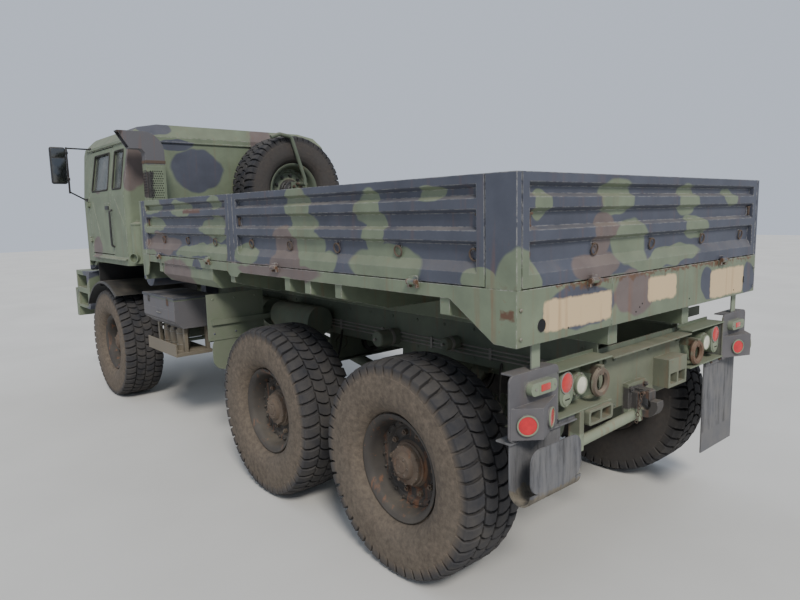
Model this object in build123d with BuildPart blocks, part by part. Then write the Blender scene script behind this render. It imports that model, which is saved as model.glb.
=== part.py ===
"""Six-wheel-drive medium military cargo truck with a drop-side bed, parked and empty.

X points to the truck's right, Y forwards and Z up, with the ground at Z = 0 and Y = 0 at mid length.
All sizes are in millimetres.
"""

from build123d import *
from math import radians, sin, cos, pi
import os

os.makedirs("parts", exist_ok=True)

# Stations along the truck
pintle_reach = 60
rear_overhang = 840
axle_spacing = 1370
wheelbase = 4075
front_overhang = 1300
cab_behind_axle = 825
bed_to_cab = 475
cab_ahead_of_axle = 1000

bed_length = rear_overhang + axle_spacing / 2 + wheelbase - cab_behind_axle - bed_to_cab
length = pintle_reach + rear_overhang + axle_spacing / 2 + wheelbase + front_overhang
bed_rear = -length / 2 + pintle_reach
bed_front = bed_rear + bed_length
rear_axle_y = bed_rear + rear_overhang
mid_axle_y = rear_axle_y + axle_spacing
tandem_y = (rear_axle_y + mid_axle_y) / 2
front_axle_y = tandem_y + wheelbase
bumper_front = front_axle_y + front_overhang
cab_rear = front_axle_y - cab_behind_axle
cab_front = front_axle_y + cab_ahead_of_axle

# Wheels
tyre_radius = 585
tyre_width = 395
tread_depth = 27
lug_count = 16
lug_width = 124
bead_radius = 262
flange_radius = 292
flange_thickness = 14
rim_width = 270
rim_wall = 12
wheel_track = 2042
disc_inset = 118
disc_thickness = 14
hub_radius = 118
hub_reach = 98
spindle_radius = 60
spindle_depth = 70
running_gap = 0.08
face_gap = 0.3
wheel_x = wheel_track / 2
axle_z = tyre_radius

# Chassis
rail_outside = 430
rail_height = 250
rail_flange = 80
rail_wall = 10
rail_bottom = 1000
rail_top = rail_bottom + rail_height
frame_front = bumper_front - 150
frame_rear = bed_rear + 120

# Cargo bed
bed_width = 2438
bed_half = bed_width / 2
floor_top = 1600
floor_thickness = 40
side_rail_height = 62
side_rail_width = 90
sill_height = 235
long_sill_height = 120
panel_height = 470
panel_depth = 45
panel_sheet = 5
panel_gap = 5
stile_width = 45
mid_post_width = 60
moving_gap = 6
hinge_radius = 13
hinge_pin = 8
hinge_knuckle = 40
hinge_ear = 12
hinge_offset = 20
hinge_leaf = 26
hinge_gap = 1

# Cab
cab_half = 1190
cab_bottom = 1460
nose_bottom = 1345
cab_wall = 40
belt_z = 2150
roof_top = 2840
eave_z = roof_top - 150
eave_half = 1110
nose_half = 930
nose_start = 440
windshield_base = 2060
windshield_head = 350
door_bottom = 1560
door_top = eave_z - 50
door_rear = 450
door_length = 735
door_gap = 9
door_hinge_heights = (1700, 2080)
glass_thickness = 6
tunnel_half = 380
tunnel_top = 1640
tilt_pivot_back = 90
tilt_pivot_z = 1300
tilt_pin_radius = 20


def slab(x, y, z, mode=Mode.ADD):
    """A plain plate or bar between two corners, given as (low, high) pairs."""
    with Locations(((x[0] + x[1]) / 2, (y[0] + y[1]) / 2, (z[0] + z[1]) / 2)):
        Box(x[1] - x[0], y[1] - y[0], z[1] - z[0], mode=mode)


def rod(start, end, radius, mode=Mode.ADD):
    """A round bar from one point to another."""
    along = Vector(*end) - Vector(*start)
    with Locations(Plane(origin=start, z_dir=along)):
        Cylinder(radius, along.length, align=(Align.CENTER, Align.CENTER, Align.MIN), mode=mode)


def ring(centre, radial, axis, radius, bar):
    """A closed ring of six-sided bar."""
    plane = Plane(origin=centre, x_dir=radial, z_dir=Vector(*axis).cross(Vector(*radial)))
    with BuildSketch(plane) as section:
        with Locations((radius, 0)):
            RegularPolygon(bar, 6)
    revolve(section.sketch, axis=Axis(tuple(centre), tuple(axis)))


def save(piece, name):
    piece.part.label = name
    export_step(piece.part, f"parts/{name}.step")


def span(a, b):
    """Two numbers in rising order, so that one line serves both sides of the truck."""
    return (min(a, b), max(a, b))


def wheel_plane(y, z=axle_z):
    """The plane through an axle that holds a wheel's section: X across, radius up."""
    return Plane(origin=(0, y, z), x_dir=(1, 0, 0), z_dir=(0, -1, 0))


# Tyre with flat facets, so that its lugs stay light. Section columns: distance from the centre plane, radius
tread_edge = tyre_width / 2 - 17
tread_floor = tyre_radius - tread_depth
bulge_radius = 432
bead_half = rim_width / 2 - flange_thickness - face_gap
tyre_half_section = (
    (bead_half, bead_radius),
    (bead_half, flange_radius + 4),
    (tyre_width / 2, bulge_radius),
    (tread_edge, tread_floor),
)
half_pitch = pi / lug_count
# The lugs' flat tops lie so low that the lowest corners of the staggered row meet the ground
lug_top = (tyre_radius - lug_width / 2 * sin(half_pitch)) / cos(half_pitch)
lug_inner = 9
lug_flat = 148


def facet_ring(section, count):
    """A ring of flat facets around X from a closed loop of (x, radius) points; one facet faces the ground."""
    corner = 1 / cos(pi / count)
    turns = [-pi / 2 + (2 * n + 1) * pi / count for n in range(count)]
    rims = [[Vector(x, r * corner * cos(t), r * corner * sin(t)) for t in turns] for x, r in section]
    faces = []
    for near, far in zip(rims, rims[1:] + rims[:1]):
        for n in range(count):
            m = (n + 1) % count
            faces.append(Face(Wire.make_polygon([near[n], near[m], far[m], far[n]])))
    return Solid(Shell(faces))


tyre_ring = facet_ring(list(tyre_half_section) + [(-w, r) for w, r in reversed(tyre_half_section)], lug_count)
with BuildPart() as tyre_form:
    add(tyre_ring)
    for row_side, stagger in ((1, 0), (-1, half_pitch)):
        for n in range(lug_count):
            turn = -pi / 2 + stagger + 2 * n * half_pitch
            across = Vector(0, -sin(turn), cos(turn))
            with BuildSketch(Plane(origin=across * (-lug_width / 2), x_dir=(1, 0, 0), z_dir=across)) as lug:
                Polygon((row_side * lug_inner, tread_floor - 30), (row_side * lug_inner, lug_top),
                        (row_side * lug_flat, lug_top), (row_side * (tread_edge - 3), tread_floor - 6),
                        (row_side * (tread_edge - 40), tread_floor - 30), align=None)
            extrude(lug.sketch, amount=lug_width)


def wheel_section(side, x, bore):
    """Half section of the two-piece wheel with its planetary hub, from the outer flange inwards."""
    half = rim_width / 2
    lip, barrel = flange_radius, bead_radius - face_gap
    inside = barrel - rim_wall
    step = half - flange_thickness
    disc_out = half - disc_inset
    disc_in = disc_out - disc_thickness
    hub_in = disc_in - spindle_depth
    hub_out = disc_out + hub_reach
    dish_radius = 205
    points = [
        (half + 6, lip),
        (half + 6, lip - 14),
        (half - 12, inside - 8),
        (disc_out + 22, inside - 22),
        (disc_out, dish_radius),
        (disc_out, hub_radius + 22),
        (disc_out + 40, hub_radius),
        (hub_out - 16, hub_radius - 12),
        (hub_out, hub_radius - 48),
        (hub_out, 0),
        (disc_in + 4, 0),
        (disc_in + 4, bore),
        (hub_in, bore),
        (hub_in, hub_radius - 20),
        (disc_in, hub_radius + 10),
        (disc_in, inside),
        (-half + 6, inside),
        (-half - 6, lip - 10),
        (-half - 6, lip),
        (-step, lip),
        (-step, barrel),
        (step, barrel),
        (step, lip),
    ]
    return [(x + side * w, r) for w, r in points]


with BuildPart() as wheel_form:
    with BuildSketch(wheel_plane(0, 0)):
        Polygon(*wheel_section(1, 0, spindle_radius + running_gap), align=None)
    revolve(axis=Axis((0, 0, 0), (1, 0, 0)))


def place_wheel(name, place, turn):
    """A tyre and its wheel at a place, with the outer face turned from +X about Z."""
    for kind, form in (("tyre", tyre_form), ("wheel", wheel_form)):
        with BuildPart() as copy:
            with Locations(Location(place, (0, 0, turn))):
                add(form.part)
        save(copy, f"{kind}_{name}")


# Where a spindle ends: just short of the bottom of the hub's bore
spindle_end = wheel_x + rim_width / 2 - disc_inset - disc_thickness + 3
hub_face = wheel_x + rim_width / 2 - disc_inset - disc_thickness - spindle_depth

for row, y in (("front", front_axle_y), ("mid", mid_axle_y), ("rear", rear_axle_y)):
    for word, side in (("left", -1), ("right", 1)):
        place_wheel(f"{row}_{word}", (side * wheel_x, y, axle_z), 0 if side > 0 else 180)

# Frame: two channel rails, open inwards, with crossmembers. The springs hang under the rails
spring_x = 392
crossmember_height = 180
crossmember_wall = 12
crossmember_stations = [
    frame_rear + 6,
    rear_axle_y + 430,
    tandem_y,
    mid_axle_y + 520,
    bed_front - 500,
]


def rail_profile(side):
    """A channel section in the XZ plane."""
    out = side * rail_outside
    web = side * (rail_outside - rail_wall)
    lip = side * (rail_outside - rail_flange)
    low, high = rail_bottom, rail_top
    return [
        (out, low), (lip, low), (lip, low + rail_wall), (web, low + rail_wall),
        (web, high - rail_wall), (lip, high - rail_wall), (lip, high), (out, high),
    ]


with BuildPart() as frame:
    for side in (-1, 1):
        with BuildSketch(Plane.XZ.offset(-frame_rear)):
            Polygon(*rail_profile(side), align=None)
        extrude(amount=-(frame_front - frame_rear))
    web_in = rail_outside - rail_wall
    mid_z = (rail_bottom + rail_top) / 2
    for station in crossmember_stations:
        slab((-web_in, web_in), (station, station + crossmember_wall),
             (mid_z - crossmember_height / 2, mid_z + crossmember_height / 2))
    # Flat tie above the gearbox
    slab((-web_in, web_in), (cab_rear - 190, cab_rear - 110), (rail_top - rail_wall - 26,
                                                               rail_top - rail_wall))
    # Front crossmember that carries the bumper and the cab's tilt pivots
    slab((-web_in, web_in), (frame_front - 60, frame_front), (rail_bottom + rail_wall, rail_top - rail_wall))
    # Tilt pivots: brackets and pins on top of the rails
    pivot_y = cab_front - tilt_pivot_back
    for side in (-1, 1):
        for near in (28, -40):
            bracket = span(side * (spring_x + near), side * (spring_x + near + 12))
            slab(bracket, (pivot_y - 40, pivot_y + 30), (rail_top, tilt_pivot_z))
            rod((bracket[0], pivot_y, tilt_pivot_z), (bracket[1], pivot_y, tilt_pivot_z), 30)
        pin_half = 40
        rod((side * spring_x - pin_half, pivot_y, tilt_pivot_z), (side * spring_x + pin_half, pivot_y,
                                                                  tilt_pivot_z),
            tilt_pin_radius)
save(frame, "frame_rails")

# Axles: a tube with a banjo housing, brake drums and spindles
axle_tube_radius = 72
banjo_radius = 190
front_banjo_radius = 170
nose_reach = 250
shaft_flange_radius = 62
shaft_flange = 12
pinion_z = axle_z + 50
banjo_width = 150
drum_radius = 200
drum_width = 90
drum_face = hub_face - 8
kingpin_x = 846
kingpin_radius = 28
yoke_radius = 58
yoke_ear = 30
yoke_half_height = 128
knuckle_gap = 0.3


def axle_body(y, tube_end, banjo_radius, noses):
    rod((-tube_end, y, axle_z), (tube_end, y, axle_z), axle_tube_radius)
    # Banjo: a drum with coned sides
    with BuildSketch(wheel_plane(y)) as banjo:
        Polygon((-banjo_width, 0), (-banjo_width, axle_tube_radius + 20), (-banjo_width / 2, banjo_radius),
                (banjo_width / 2, banjo_radius), (banjo_width, axle_tube_radius + 20), (banjo_width,
                                                                                        0), align=None)
    revolve(banjo.sketch, axis=Axis((0, y, axle_z), (1, 0, 0)))
    # Pinion noses that the propeller shafts bolt to
    for way in noses:
        rod((0, y, pinion_z), (0, y + way * nose_reach, pinion_z), shaft_flange_radius)


with BuildPart() as rear_axles:
    for y, noses in ((mid_axle_y, (-1, 1)), (rear_axle_y, (1,))):
        axle_body(y, drum_face - drum_width, banjo_radius, noses)
        for side in (-1, 1):
            rod((side * (drum_face - drum_width), y, axle_z), (side * drum_face, y, axle_z), drum_radius)
            rod((side * drum_face, y, axle_z), (side * spindle_end, y, axle_z), spindle_radius)
save(rear_axles, "rear_axles")

with BuildPart() as front_axle:
    yoke_in = kingpin_x - yoke_radius - 20
    axle_body(front_axle_y, yoke_in, front_banjo_radius, (-1,))
    for side in (-1, 1):
        for low in (-yoke_half_height, yoke_half_height - yoke_ear):
            z = (axle_z + low, axle_z + low + yoke_ear)
            slab(span(side * (yoke_in - 40), side * kingpin_x),
                 (front_axle_y - yoke_radius, front_axle_y + yoke_radius), z)
            rod((side * kingpin_x, front_axle_y, z[0]), (side * kingpin_x, front_axle_y, z[1]), yoke_radius)
        slab(span(side * (yoke_in - 40), side * yoke_in),
             (front_axle_y - yoke_radius, front_axle_y + yoke_radius),
             (axle_z - yoke_half_height, axle_z + yoke_half_height))
        rod((side * kingpin_x, front_axle_y, axle_z - yoke_half_height - 1),
            (side * kingpin_x, front_axle_y, axle_z + yoke_half_height + 1),
            kingpin_radius + running_gap, mode=Mode.SUBTRACT)
save(front_axle, "front_axle")

# Knuckles turn on the kingpins and carry the spindles; the arm behind takes the tie rod
steer_arm = 225
steer_arm_half = 26
steer_arm_thickness = 24
tie_rod_radius = 20
tie_pin_radius = 12
knuckle_body_radius = 52
knuckle_half = yoke_half_height - yoke_ear - knuckle_gap
arm_top = axle_z - knuckle_half + steer_arm_thickness
for word, side in (("left", -1), ("right", 1)):
    with BuildPart() as knuckle:
        pin = side * kingpin_x
        rod((pin, front_axle_y, axle_z - yoke_half_height), (pin, front_axle_y, axle_z + yoke_half_height),
            kingpin_radius)
        rod((pin, front_axle_y, axle_z - knuckle_half), (pin, front_axle_y, axle_z + knuckle_half),
            knuckle_body_radius)
        rod((pin, front_axle_y, axle_z), (side * (hub_face - 8), front_axle_y, axle_z), knuckle_half)
        rod((side * (hub_face - 8), front_axle_y, axle_z), (side * spindle_end, front_axle_y, axle_z),
            spindle_radius)
        arm_end = front_axle_y - steer_arm
        arm_low = arm_top - steer_arm_thickness
        slab((pin - steer_arm_half, pin + steer_arm_half), (arm_end, front_axle_y), (arm_low, arm_top))
        rod((pin, arm_end, arm_low), (pin, arm_end, arm_top), steer_arm_half)
        rod((pin, arm_end, arm_low - 1), (pin, arm_end, arm_top + 1), tie_pin_radius + running_gap,
            mode=Mode.SUBTRACT)
    save(knuckle, f"knuckle_{word}")

with BuildPart() as tie_rod:
    y = front_axle_y - steer_arm
    z = arm_top + knuckle_gap + tie_rod_radius
    rod((-kingpin_x, y, z), (kingpin_x, y, z), tie_rod_radius)
    for side in (-1, 1):
        rod((side * kingpin_x, y, arm_top + knuckle_gap), (side * kingpin_x, y, z + tie_rod_radius + 5),
            steer_arm_half)
        rod((side * kingpin_x, y, arm_top - steer_arm_thickness), (side * kingpin_x, y, z), tie_pin_radius)
save(tie_rod, "tie_rod")

# Leaf springs: front packs along the rails, rear packs turned over between the two axles
spring_width = 76
leaf_thickness = 14
front_spring_half = 640
front_leaves = 4
rear_leaves = 7
axle_seat_z = axle_z + axle_tube_radius
bogie_z = 830


def leaf_pack(side, y, half, leaves, seat_z, end_rise, rising):
    """Curved leaves one on another; each is shorter than the one before it."""
    for n in range(leaves):
        reach = half * (1 - 0.13 * n)
        share = reach / half
        low = seat_z + leaf_thickness * n if rising else seat_z - leaf_thickness * n
        tip = low + end_rise * share * share
        with BuildSketch(Plane.YZ.offset(side * spring_x - spring_width / 2)) as leaf:
            with BuildLine():
                ThreePointArc((y - reach, tip), (y, low), (y + reach, tip))
                Line((y + reach, tip), (y + reach, tip + leaf_thickness))
                ThreePointArc((y + reach, tip + leaf_thickness), (y, low + leaf_thickness),
                              (y - reach, tip + leaf_thickness))
                Line((y - reach, tip + leaf_thickness), (y - reach, tip))
            make_face()
        extrude(leaf.sketch, amount=spring_width)


with BuildPart() as springs:
    for side in (-1, 1):
        half_width = spring_width / 2
        x = (side * spring_x - half_width, side * spring_x + half_width)
        # Front: main leaf on top, shorter leaves under it, hung from two shackle brackets
        top_leaf = axle_seat_z + leaf_thickness * (front_leaves - 1)
        leaf_pack(side, front_axle_y, front_spring_half, front_leaves, top_leaf, 90, rising=False)
        for end in (-1, 1):
            y = front_axle_y + end * front_spring_half
            slab(x, (y - 45, y + 45), (top_leaf + 70, rail_bottom))
        # Rear: a pack pivoted on a trunnion, with its ends on the two axles
        leaf_pack(side, tandem_y, axle_spacing / 2, rear_leaves, bogie_z, axle_seat_z - bogie_z, rising=True)
        slab(x, (tandem_y - 110, tandem_y + 110), (bogie_z - 130, bogie_z + 2))
        rod((side * (spring_x - 60), tandem_y, bogie_z - 70), (side * (spring_x + 78), tandem_y,
                                                               bogie_z - 70), 62)
        slab(x, (tandem_y - 90, tandem_y + 90), (bogie_z + leaf_thickness * rear_leaves - 4, rail_bottom))
save(springs, "leaf_springs")

# Engine: one plain block between the rails, with the driveline behind it
engine_half = 300
engine_length = 1150
engine_bottom = 830
engine_top = 1560
engine_front = front_axle_y + 560
gearbox_radius = 190
gearbox_z = 1010
shaft_radius = 45
gearbox_front = engine_front - engine_length
gearbox_rear = gearbox_front - 900
with BuildPart() as driveline:
    slab((-engine_half, engine_half), (engine_front - engine_length, engine_front), (engine_bottom,
                                                                                     engine_top))
    rod((0, gearbox_front, gearbox_z), (0, gearbox_rear, gearbox_z), gearbox_radius)
    slab((-170, 170), (gearbox_rear - 260, gearbox_rear), (gearbox_z - 250, gearbox_z + 110))
    # Propeller shafts. Columns: rear end and front end as (y, z)
    seat = nose_reach + face_gap
    shafts = (
        ((mid_axle_y + seat, pinion_z), (gearbox_rear - 255, gearbox_z - 130)),
        ((rear_axle_y + seat, pinion_z), (mid_axle_y - seat, pinion_z)),
        ((gearbox_rear - 5, gearbox_z - 230), (front_axle_y - seat, pinion_z)),
    )
    for low, high in shafts:
        sunk = shaft_flange - 2
        rod((0, low[0] + sunk, low[1]), (0, high[0] - sunk, high[1]), shaft_radius)
        rod((0, low[0], low[1]), (0, low[0] + shaft_flange, low[1]), shaft_flange_radius)
        rod((0, high[0] - shaft_flange, high[1]), (0, high[0], high[1]), shaft_flange_radius)
save(driveline, "engine_and_driveline")

# Bed frame: two long sills on the rails, bearers across them, edge rails and the deep rear sill
long_sill_x = 390
long_sill_half = 40
bearer_width = 60
bearer_inset = 12
sill_depth = 60
floor_bottom = floor_top - floor_thickness
long_sill_top = rail_top + long_sill_height
side_rail_bottom = floor_top - side_rail_height
rail_inner = bed_half - side_rail_width
bearer_reach = bed_half - bearer_inset
# Bearers. Columns: distance from the bed's rear face, half length; the short one ends at the stowage box
bearers = (
    (420, bearer_reach), (1250, bearer_reach), (1560, bearer_reach), (1790, bearer_reach),
    (2530, bearer_reach), (3200, 780), (3900, bearer_reach),
)
front_sill_depth = panel_depth + 1
rail_bracket_sheet = 10
rail_brackets = (
    ((10, floor_top - sill_height + 2), (120, floor_top - sill_height + 2), (390, side_rail_bottom + 8),
     (10, side_rail_bottom + 8)),
    ((2385, side_rail_bottom + 8), (2440, side_rail_bottom - 34), (2540, side_rail_bottom - 34),
     (2595, side_rail_bottom + 8)),
    ((bed_length - 160, side_rail_bottom + 8), (bed_length - 110, side_rail_bottom - 118),
     (bed_length - 10, side_rail_bottom - 138), (bed_length - 10, side_rail_bottom + 8)),
)
bearer_tip_rise = 90
bearer_tip_length = 330

with BuildPart() as bed_frame:
    for side in (-1, 1):
        slab(span(side * (long_sill_x - long_sill_half), side * (long_sill_x + long_sill_half)),
             (bed_rear + sill_depth, bed_front), (rail_top, long_sill_top))
        slab(span(side * rail_inner, side * bed_half), (bed_rear + sill_depth, bed_front - front_sill_depth),
             (side_rail_bottom, floor_top))
    for station, tip in bearers:
        y = bed_rear + station
        with BuildSketch(Plane.XZ.offset(-(y - bearer_width / 2))) as bearer:
            knee = tip - bearer_tip_length
            Polygon((-tip, floor_bottom), (-tip, long_sill_top + bearer_tip_rise), (-knee, long_sill_top),
                    (knee, long_sill_top), (tip, long_sill_top + bearer_tip_rise), (tip,
                                                                                    floor_bottom), align=None)
        extrude(bearer.sketch, amount=-bearer_width)
    slab((-bed_half, bed_half), (bed_rear, bed_rear + sill_depth), (floor_top - sill_height, floor_top))
    slab((-bed_half, bed_half), (bed_front - front_sill_depth, bed_front), (long_sill_top, floor_top))
    # Side brackets in the rail's plane. Columns: heights and stations from the bed's rear face, as (y, z)
    for side in (-1, 1):
        for outline in rail_brackets:
            with BuildSketch(Plane.YZ.offset(side * bed_half)) as bracket:
                Polygon(*[(bed_rear + y, z) for y, z in outline], align=None)
            extrude(bracket.sketch, amount=-side * rail_bracket_sheet)
        # Pressed lip along the rear sill
        slab(span(side * bed_half, side * (bed_half - 14)), (bed_rear + 2, bed_rear + sill_depth + 1),
             (floor_top - sill_height, floor_top))
save(bed_frame, "bed_frame")

with BuildPart() as bed_floor:
    slab((-rail_inner, rail_inner), (bed_rear + sill_depth, bed_front - front_sill_depth), (floor_bottom,
                                                                                            floor_top))
save(bed_floor, "bed_floor")

# Side and end panels: a folded sheet with outward ribs between a boxed top and bottom rail
panel_low = floor_top + panel_gap
panel_high = panel_low + panel_height
rib_recess = 16
rib_slope = 15
fold_shift = 5
rail_fold = 55
# Each rib as heights above the panel's lower edge: start, end
panel_ribs = ((175, 250), (310, 385))


def panel_outline():
    """Section of a panel as (distance outwards from its inner face, height above its lower edge)."""
    outer = [(panel_depth, 0), (panel_depth, rail_fold), (rib_recess, rail_fold + 3 * rib_slope)]
    inner = [(0, 0), (0, rail_fold + 2 * rib_slope), (rib_recess - panel_sheet,
                                                      rail_fold + 3 * rib_slope + fold_shift)]
    for low, high in panel_ribs:
        outer += [(rib_recess, low), (panel_depth, low + rib_slope), (panel_depth, high - rib_slope),
                  (rib_recess, high)]
        back = rib_recess - panel_sheet
        crest = panel_depth - panel_sheet
        inner += [(back, low + fold_shift), (crest, low + rib_slope + fold_shift),
                  (crest, high - rib_slope - fold_shift), (back, high - fold_shift)]
    top = panel_height
    outer += [(rib_recess, top - rail_fold), (panel_depth, top - rail_fold + rib_slope), (panel_depth, top)]
    inner += [(rib_recess - panel_sheet, top - rail_fold - fold_shift), (0, top - rail_fold + rib_slope),
              (0, top)]
    return outer + inner[::-1]


def panel(origin, outward, run):
    """A panel whose outer face passes through origin, from there along the run direction."""
    out, along = Vector(*outward), Vector(*run)
    plane = Plane(origin=origin, x_dir=out, z_dir=out.cross(Vector(0, 0, 1)))
    sign = 1 if plane.z_dir.dot(along) > 0 else -1
    with BuildSketch(plane) as section:
        Polygon(*[(d - panel_depth, h) for d, h in panel_outline()], align=None)
    extrude(section.sketch, amount=sign * along.length)
    # End stiles close the folds
    for start in (0, along.length - stile_width):
        with BuildSketch(plane.offset(sign * start)) as stile:
            Polygon((-panel_depth, 0), (0, 0), (0, panel_height), (-panel_depth, panel_height), align=None)
        extrude(stile.sketch, amount=sign * stile_width)


def hinge_plane(origin, outward, fixed_way):
    """Local X outwards, local Y towards the fixed side, local Z along the hinge's axis."""
    out, way = Vector(*outward), Vector(*fixed_way)
    return Plane(origin=origin, x_dir=out, z_dir=out.cross(way))


def hinge_bar(plane, low, high, radius, mode=Mode.ADD):
    with Locations(plane.offset(low)):
        Cylinder(radius, high - low, align=(Align.CENTER, Align.CENTER, Align.MIN), mode=mode)


def hinge_block(plane, x, y, z):
    with BuildSketch(plane.offset(z[0])) as block:
        Polygon((x[0], y[0]), (x[1], y[0]), (x[1], y[1]), (x[0], y[1]), align=None)
    extrude(block.sketch, amount=z[1] - z[0])


def hinge_moving(plane):
    """Knuckle and leaf on the moving piece."""
    half = hinge_knuckle / 2
    hinge_bar(plane, -half, half, hinge_radius)
    hinge_block(plane, (-hinge_offset, 0), (-hinge_leaf, -hinge_radius / 2 - 3), (-half, half))
    hinge_bar(plane, -half - 1, half + 1, hinge_pin + running_gap, mode=Mode.SUBTRACT)


def hinge_fixed(plane):
    """Two ears and the pin on the fixed piece."""
    near = hinge_knuckle / 2 + hinge_gap
    far = near + hinge_ear
    for low, high in ((near, far), (-far, -near)):
        hinge_bar(plane, low, high, hinge_radius)
        hinge_block(plane, (-hinge_offset, 0), (3, 3 + hinge_leaf), (low, high))
    hinge_bar(plane, -far, far, hinge_pin)


post_rear_length = 165
mid_post_y = bed_rear + 2490
front_post_length = 100
side_hinge_z = floor_top
# Drop sides. Columns: name, rear end and front end from the bed's rear face, hinge stations
dropsides = (
    ("rear", post_rear_length + moving_gap, 2490 - mid_post_width / 2 - moving_gap, (604, 1897)),
    ("front", 2490 + mid_post_width / 2 + moving_gap, bed_length - front_post_length - moving_gap, (2884,
                                                                                                    3873)),
)
for row, start, end, hinges in dropsides:
    for word, side in (("left", -1), ("right", 1)):
        with BuildPart() as dropside:
            panel((side * bed_half, bed_rear + start, panel_low), (side, 0, 0), (0, end - start, 0))
            for station in hinges:
                at = (side * (bed_half + hinge_offset), bed_rear + station, side_hinge_z)
                hinge_moving(hinge_plane(at, (side, 0, 0), (0, 0, -1)))
        save(dropside, f"dropside_{row}_{word}")

tailgate_hinge_x = 690
corner_face = 30
with BuildPart() as tailgate:
    reach = bed_half - corner_face - moving_gap
    panel((-reach, bed_rear, panel_low), (0, -1, 0), (2 * reach, 0, 0))
    for side in (-1, 1):
        at = (side * tailgate_hinge_x, bed_rear - hinge_offset, side_hinge_z)
        hinge_moving(hinge_plane(at, (0, -1, 0), (0, 0, -1)))
save(tailgate, "tailgate")

# Fixed uprights: corner and middle posts, headboard and the fixed halves of the hinges
with BuildPart() as uprights:
    for side in (-1, 1):
        inside = side * (bed_half - panel_depth)
        outside = side * bed_half
        slab(span(inside, outside), (bed_rear + panel_depth + moving_gap, bed_rear + post_rear_length),
             (floor_top, panel_high))
        slab(span(side * (bed_half - corner_face), outside), (bed_rear, bed_rear + post_rear_length),
             (floor_top, panel_high))
        slab(span(inside, outside), (mid_post_y - mid_post_width / 2, mid_post_y + mid_post_width / 2),
             (floor_top, panel_high))
        slab(span(inside, outside), (bed_front - front_post_length, bed_front), (floor_top, panel_high))
        for row, start, end, hinges in dropsides:
            for station in hinges:
                at = (side * (bed_half + hinge_offset), bed_rear + station, side_hinge_z)
                hinge_fixed(hinge_plane(at, (side, 0, 0), (0, 0, -1)))
        at = (side * tailgate_hinge_x, bed_rear - hinge_offset, side_hinge_z)
        hinge_fixed(hinge_plane(at, (0, -1, 0), (0, 0, -1)))
    across = bed_half - panel_depth
    slab((-across, across), (bed_front - panel_depth, bed_front), (floor_top, panel_low))
    panel((-across, bed_front, panel_low), (0, 1, 0), (2 * across, 0, 0))
save(uprights, "bed_uprights")

# Cab shell
roof_edge_half = 1010
roof_edge_z = roof_top - 40
roof_seam = roof_top - 125
rear_corner_radius = 60
nose_corner_radius = 90
arch_front = 640
nose_knee = 400
scuttle_z = 1990
scuttle_back = 45
brow_back = 390
brow_z = roof_top - 60


def cab_body(inset):
    """The cab's outside form, drawn in by the given amount on every face."""
    with BuildPart() as body:
        with BuildSketch() as plan:
            Polygon((-cab_half, cab_rear), (cab_half, cab_rear), (cab_half, cab_front - nose_start),
                    (nose_half, cab_front), (-nose_half, cab_front), (-cab_half,
                                                                      cab_front - nose_start), align=None)
            if inset:
                offset(amount=-inset, kind=Kind.INTERSECTION, mode=Mode.REPLACE)
        extrude(plan.sketch, amount=roof_top + 100)
        with BuildSketch(Plane.XZ.offset(-cab_front - 100)) as front:
            Polygon((-cab_half, 900), (cab_half, 900), (cab_half, belt_z), (eave_half, eave_z),
                    (roof_edge_half, roof_edge_z), (roof_edge_half - 200, roof_top),
                    (200 - roof_edge_half, roof_top), (-roof_edge_half, roof_edge_z),
                    (-eave_half, eave_z), (-cab_half, belt_z), align=None)
            if inset:
                offset(amount=-inset, kind=Kind.INTERSECTION, mode=Mode.REPLACE)
        extrude(front.sketch, amount=cab_front - cab_rear + 200, mode=Mode.INTERSECT)
        with BuildSketch(Plane.YZ.offset(-cab_half - 100)) as side:
            Polygon((cab_rear, cab_bottom), (cab_front - arch_front, cab_bottom), (cab_front - nose_knee,
                                                                                   nose_bottom),
                    (cab_front, nose_bottom), (cab_front, scuttle_z), (cab_front - scuttle_back,
                                                                       windshield_base),
                    (cab_front - windshield_head, eave_z), (cab_front - brow_back, brow_z),
                    (cab_front - brow_back - 160, roof_top), (cab_rear + 60, roof_top),
                    (cab_rear, roof_seam), align=None)
            if inset:
                offset(amount=-inset, kind=Kind.INTERSECTION, mode=Mode.REPLACE)
        extrude(side.sketch, amount=2 * cab_half + 200, mode=Mode.INTERSECT)
        # Rounded corners: upright rear ones, then the roof's rim
        upright = body.edges().filter_by(Axis.Z).filter_by_position(Axis.Y, cab_rear - 1,
                                                                    cab_rear + cab_wall + 1)
        fillet(upright, rear_corner_radius - inset)
        nose_edges = body.edges().filter_by(Axis.Z).filter_by_position(Axis.Y, cab_front - cab_wall - 1,
                                                                       cab_front + 1)
        fillet(nose_edges, nose_corner_radius - inset)
    return body.part


# Openings in the cab. Side ones as (y, z) corners, the windscreen as (x, z) corners
door_low_y = cab_rear + door_rear
door_high_y = door_low_y + door_length
door_taper = 14
window_low = 2215
window_high = eave_z - 100
window_pillar = 85
door_window = [
    (door_low_y + window_pillar, window_low),
    (door_high_y - window_pillar - 10, window_low),
    (door_high_y - window_pillar - 40, window_high),
    (door_low_y + window_pillar + door_taper, window_high),
]
quarter_window = [
    (cab_rear + 110, window_low), (door_low_y - 60, window_low),
    (door_low_y - 60, window_high), (cab_rear + 110, window_high),
]
door_outline = [
    (door_low_y, door_bottom), (door_high_y, door_bottom), (door_high_y, door_top),
    (door_low_y + door_taper, door_top), (door_low_y, belt_z),
]
screen_low = windshield_base + 50
screen_high = eave_z - 60
screen_half = nose_half - 60
screen_post = 30
glass_inset = 17
glass_edge = 0.3


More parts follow.
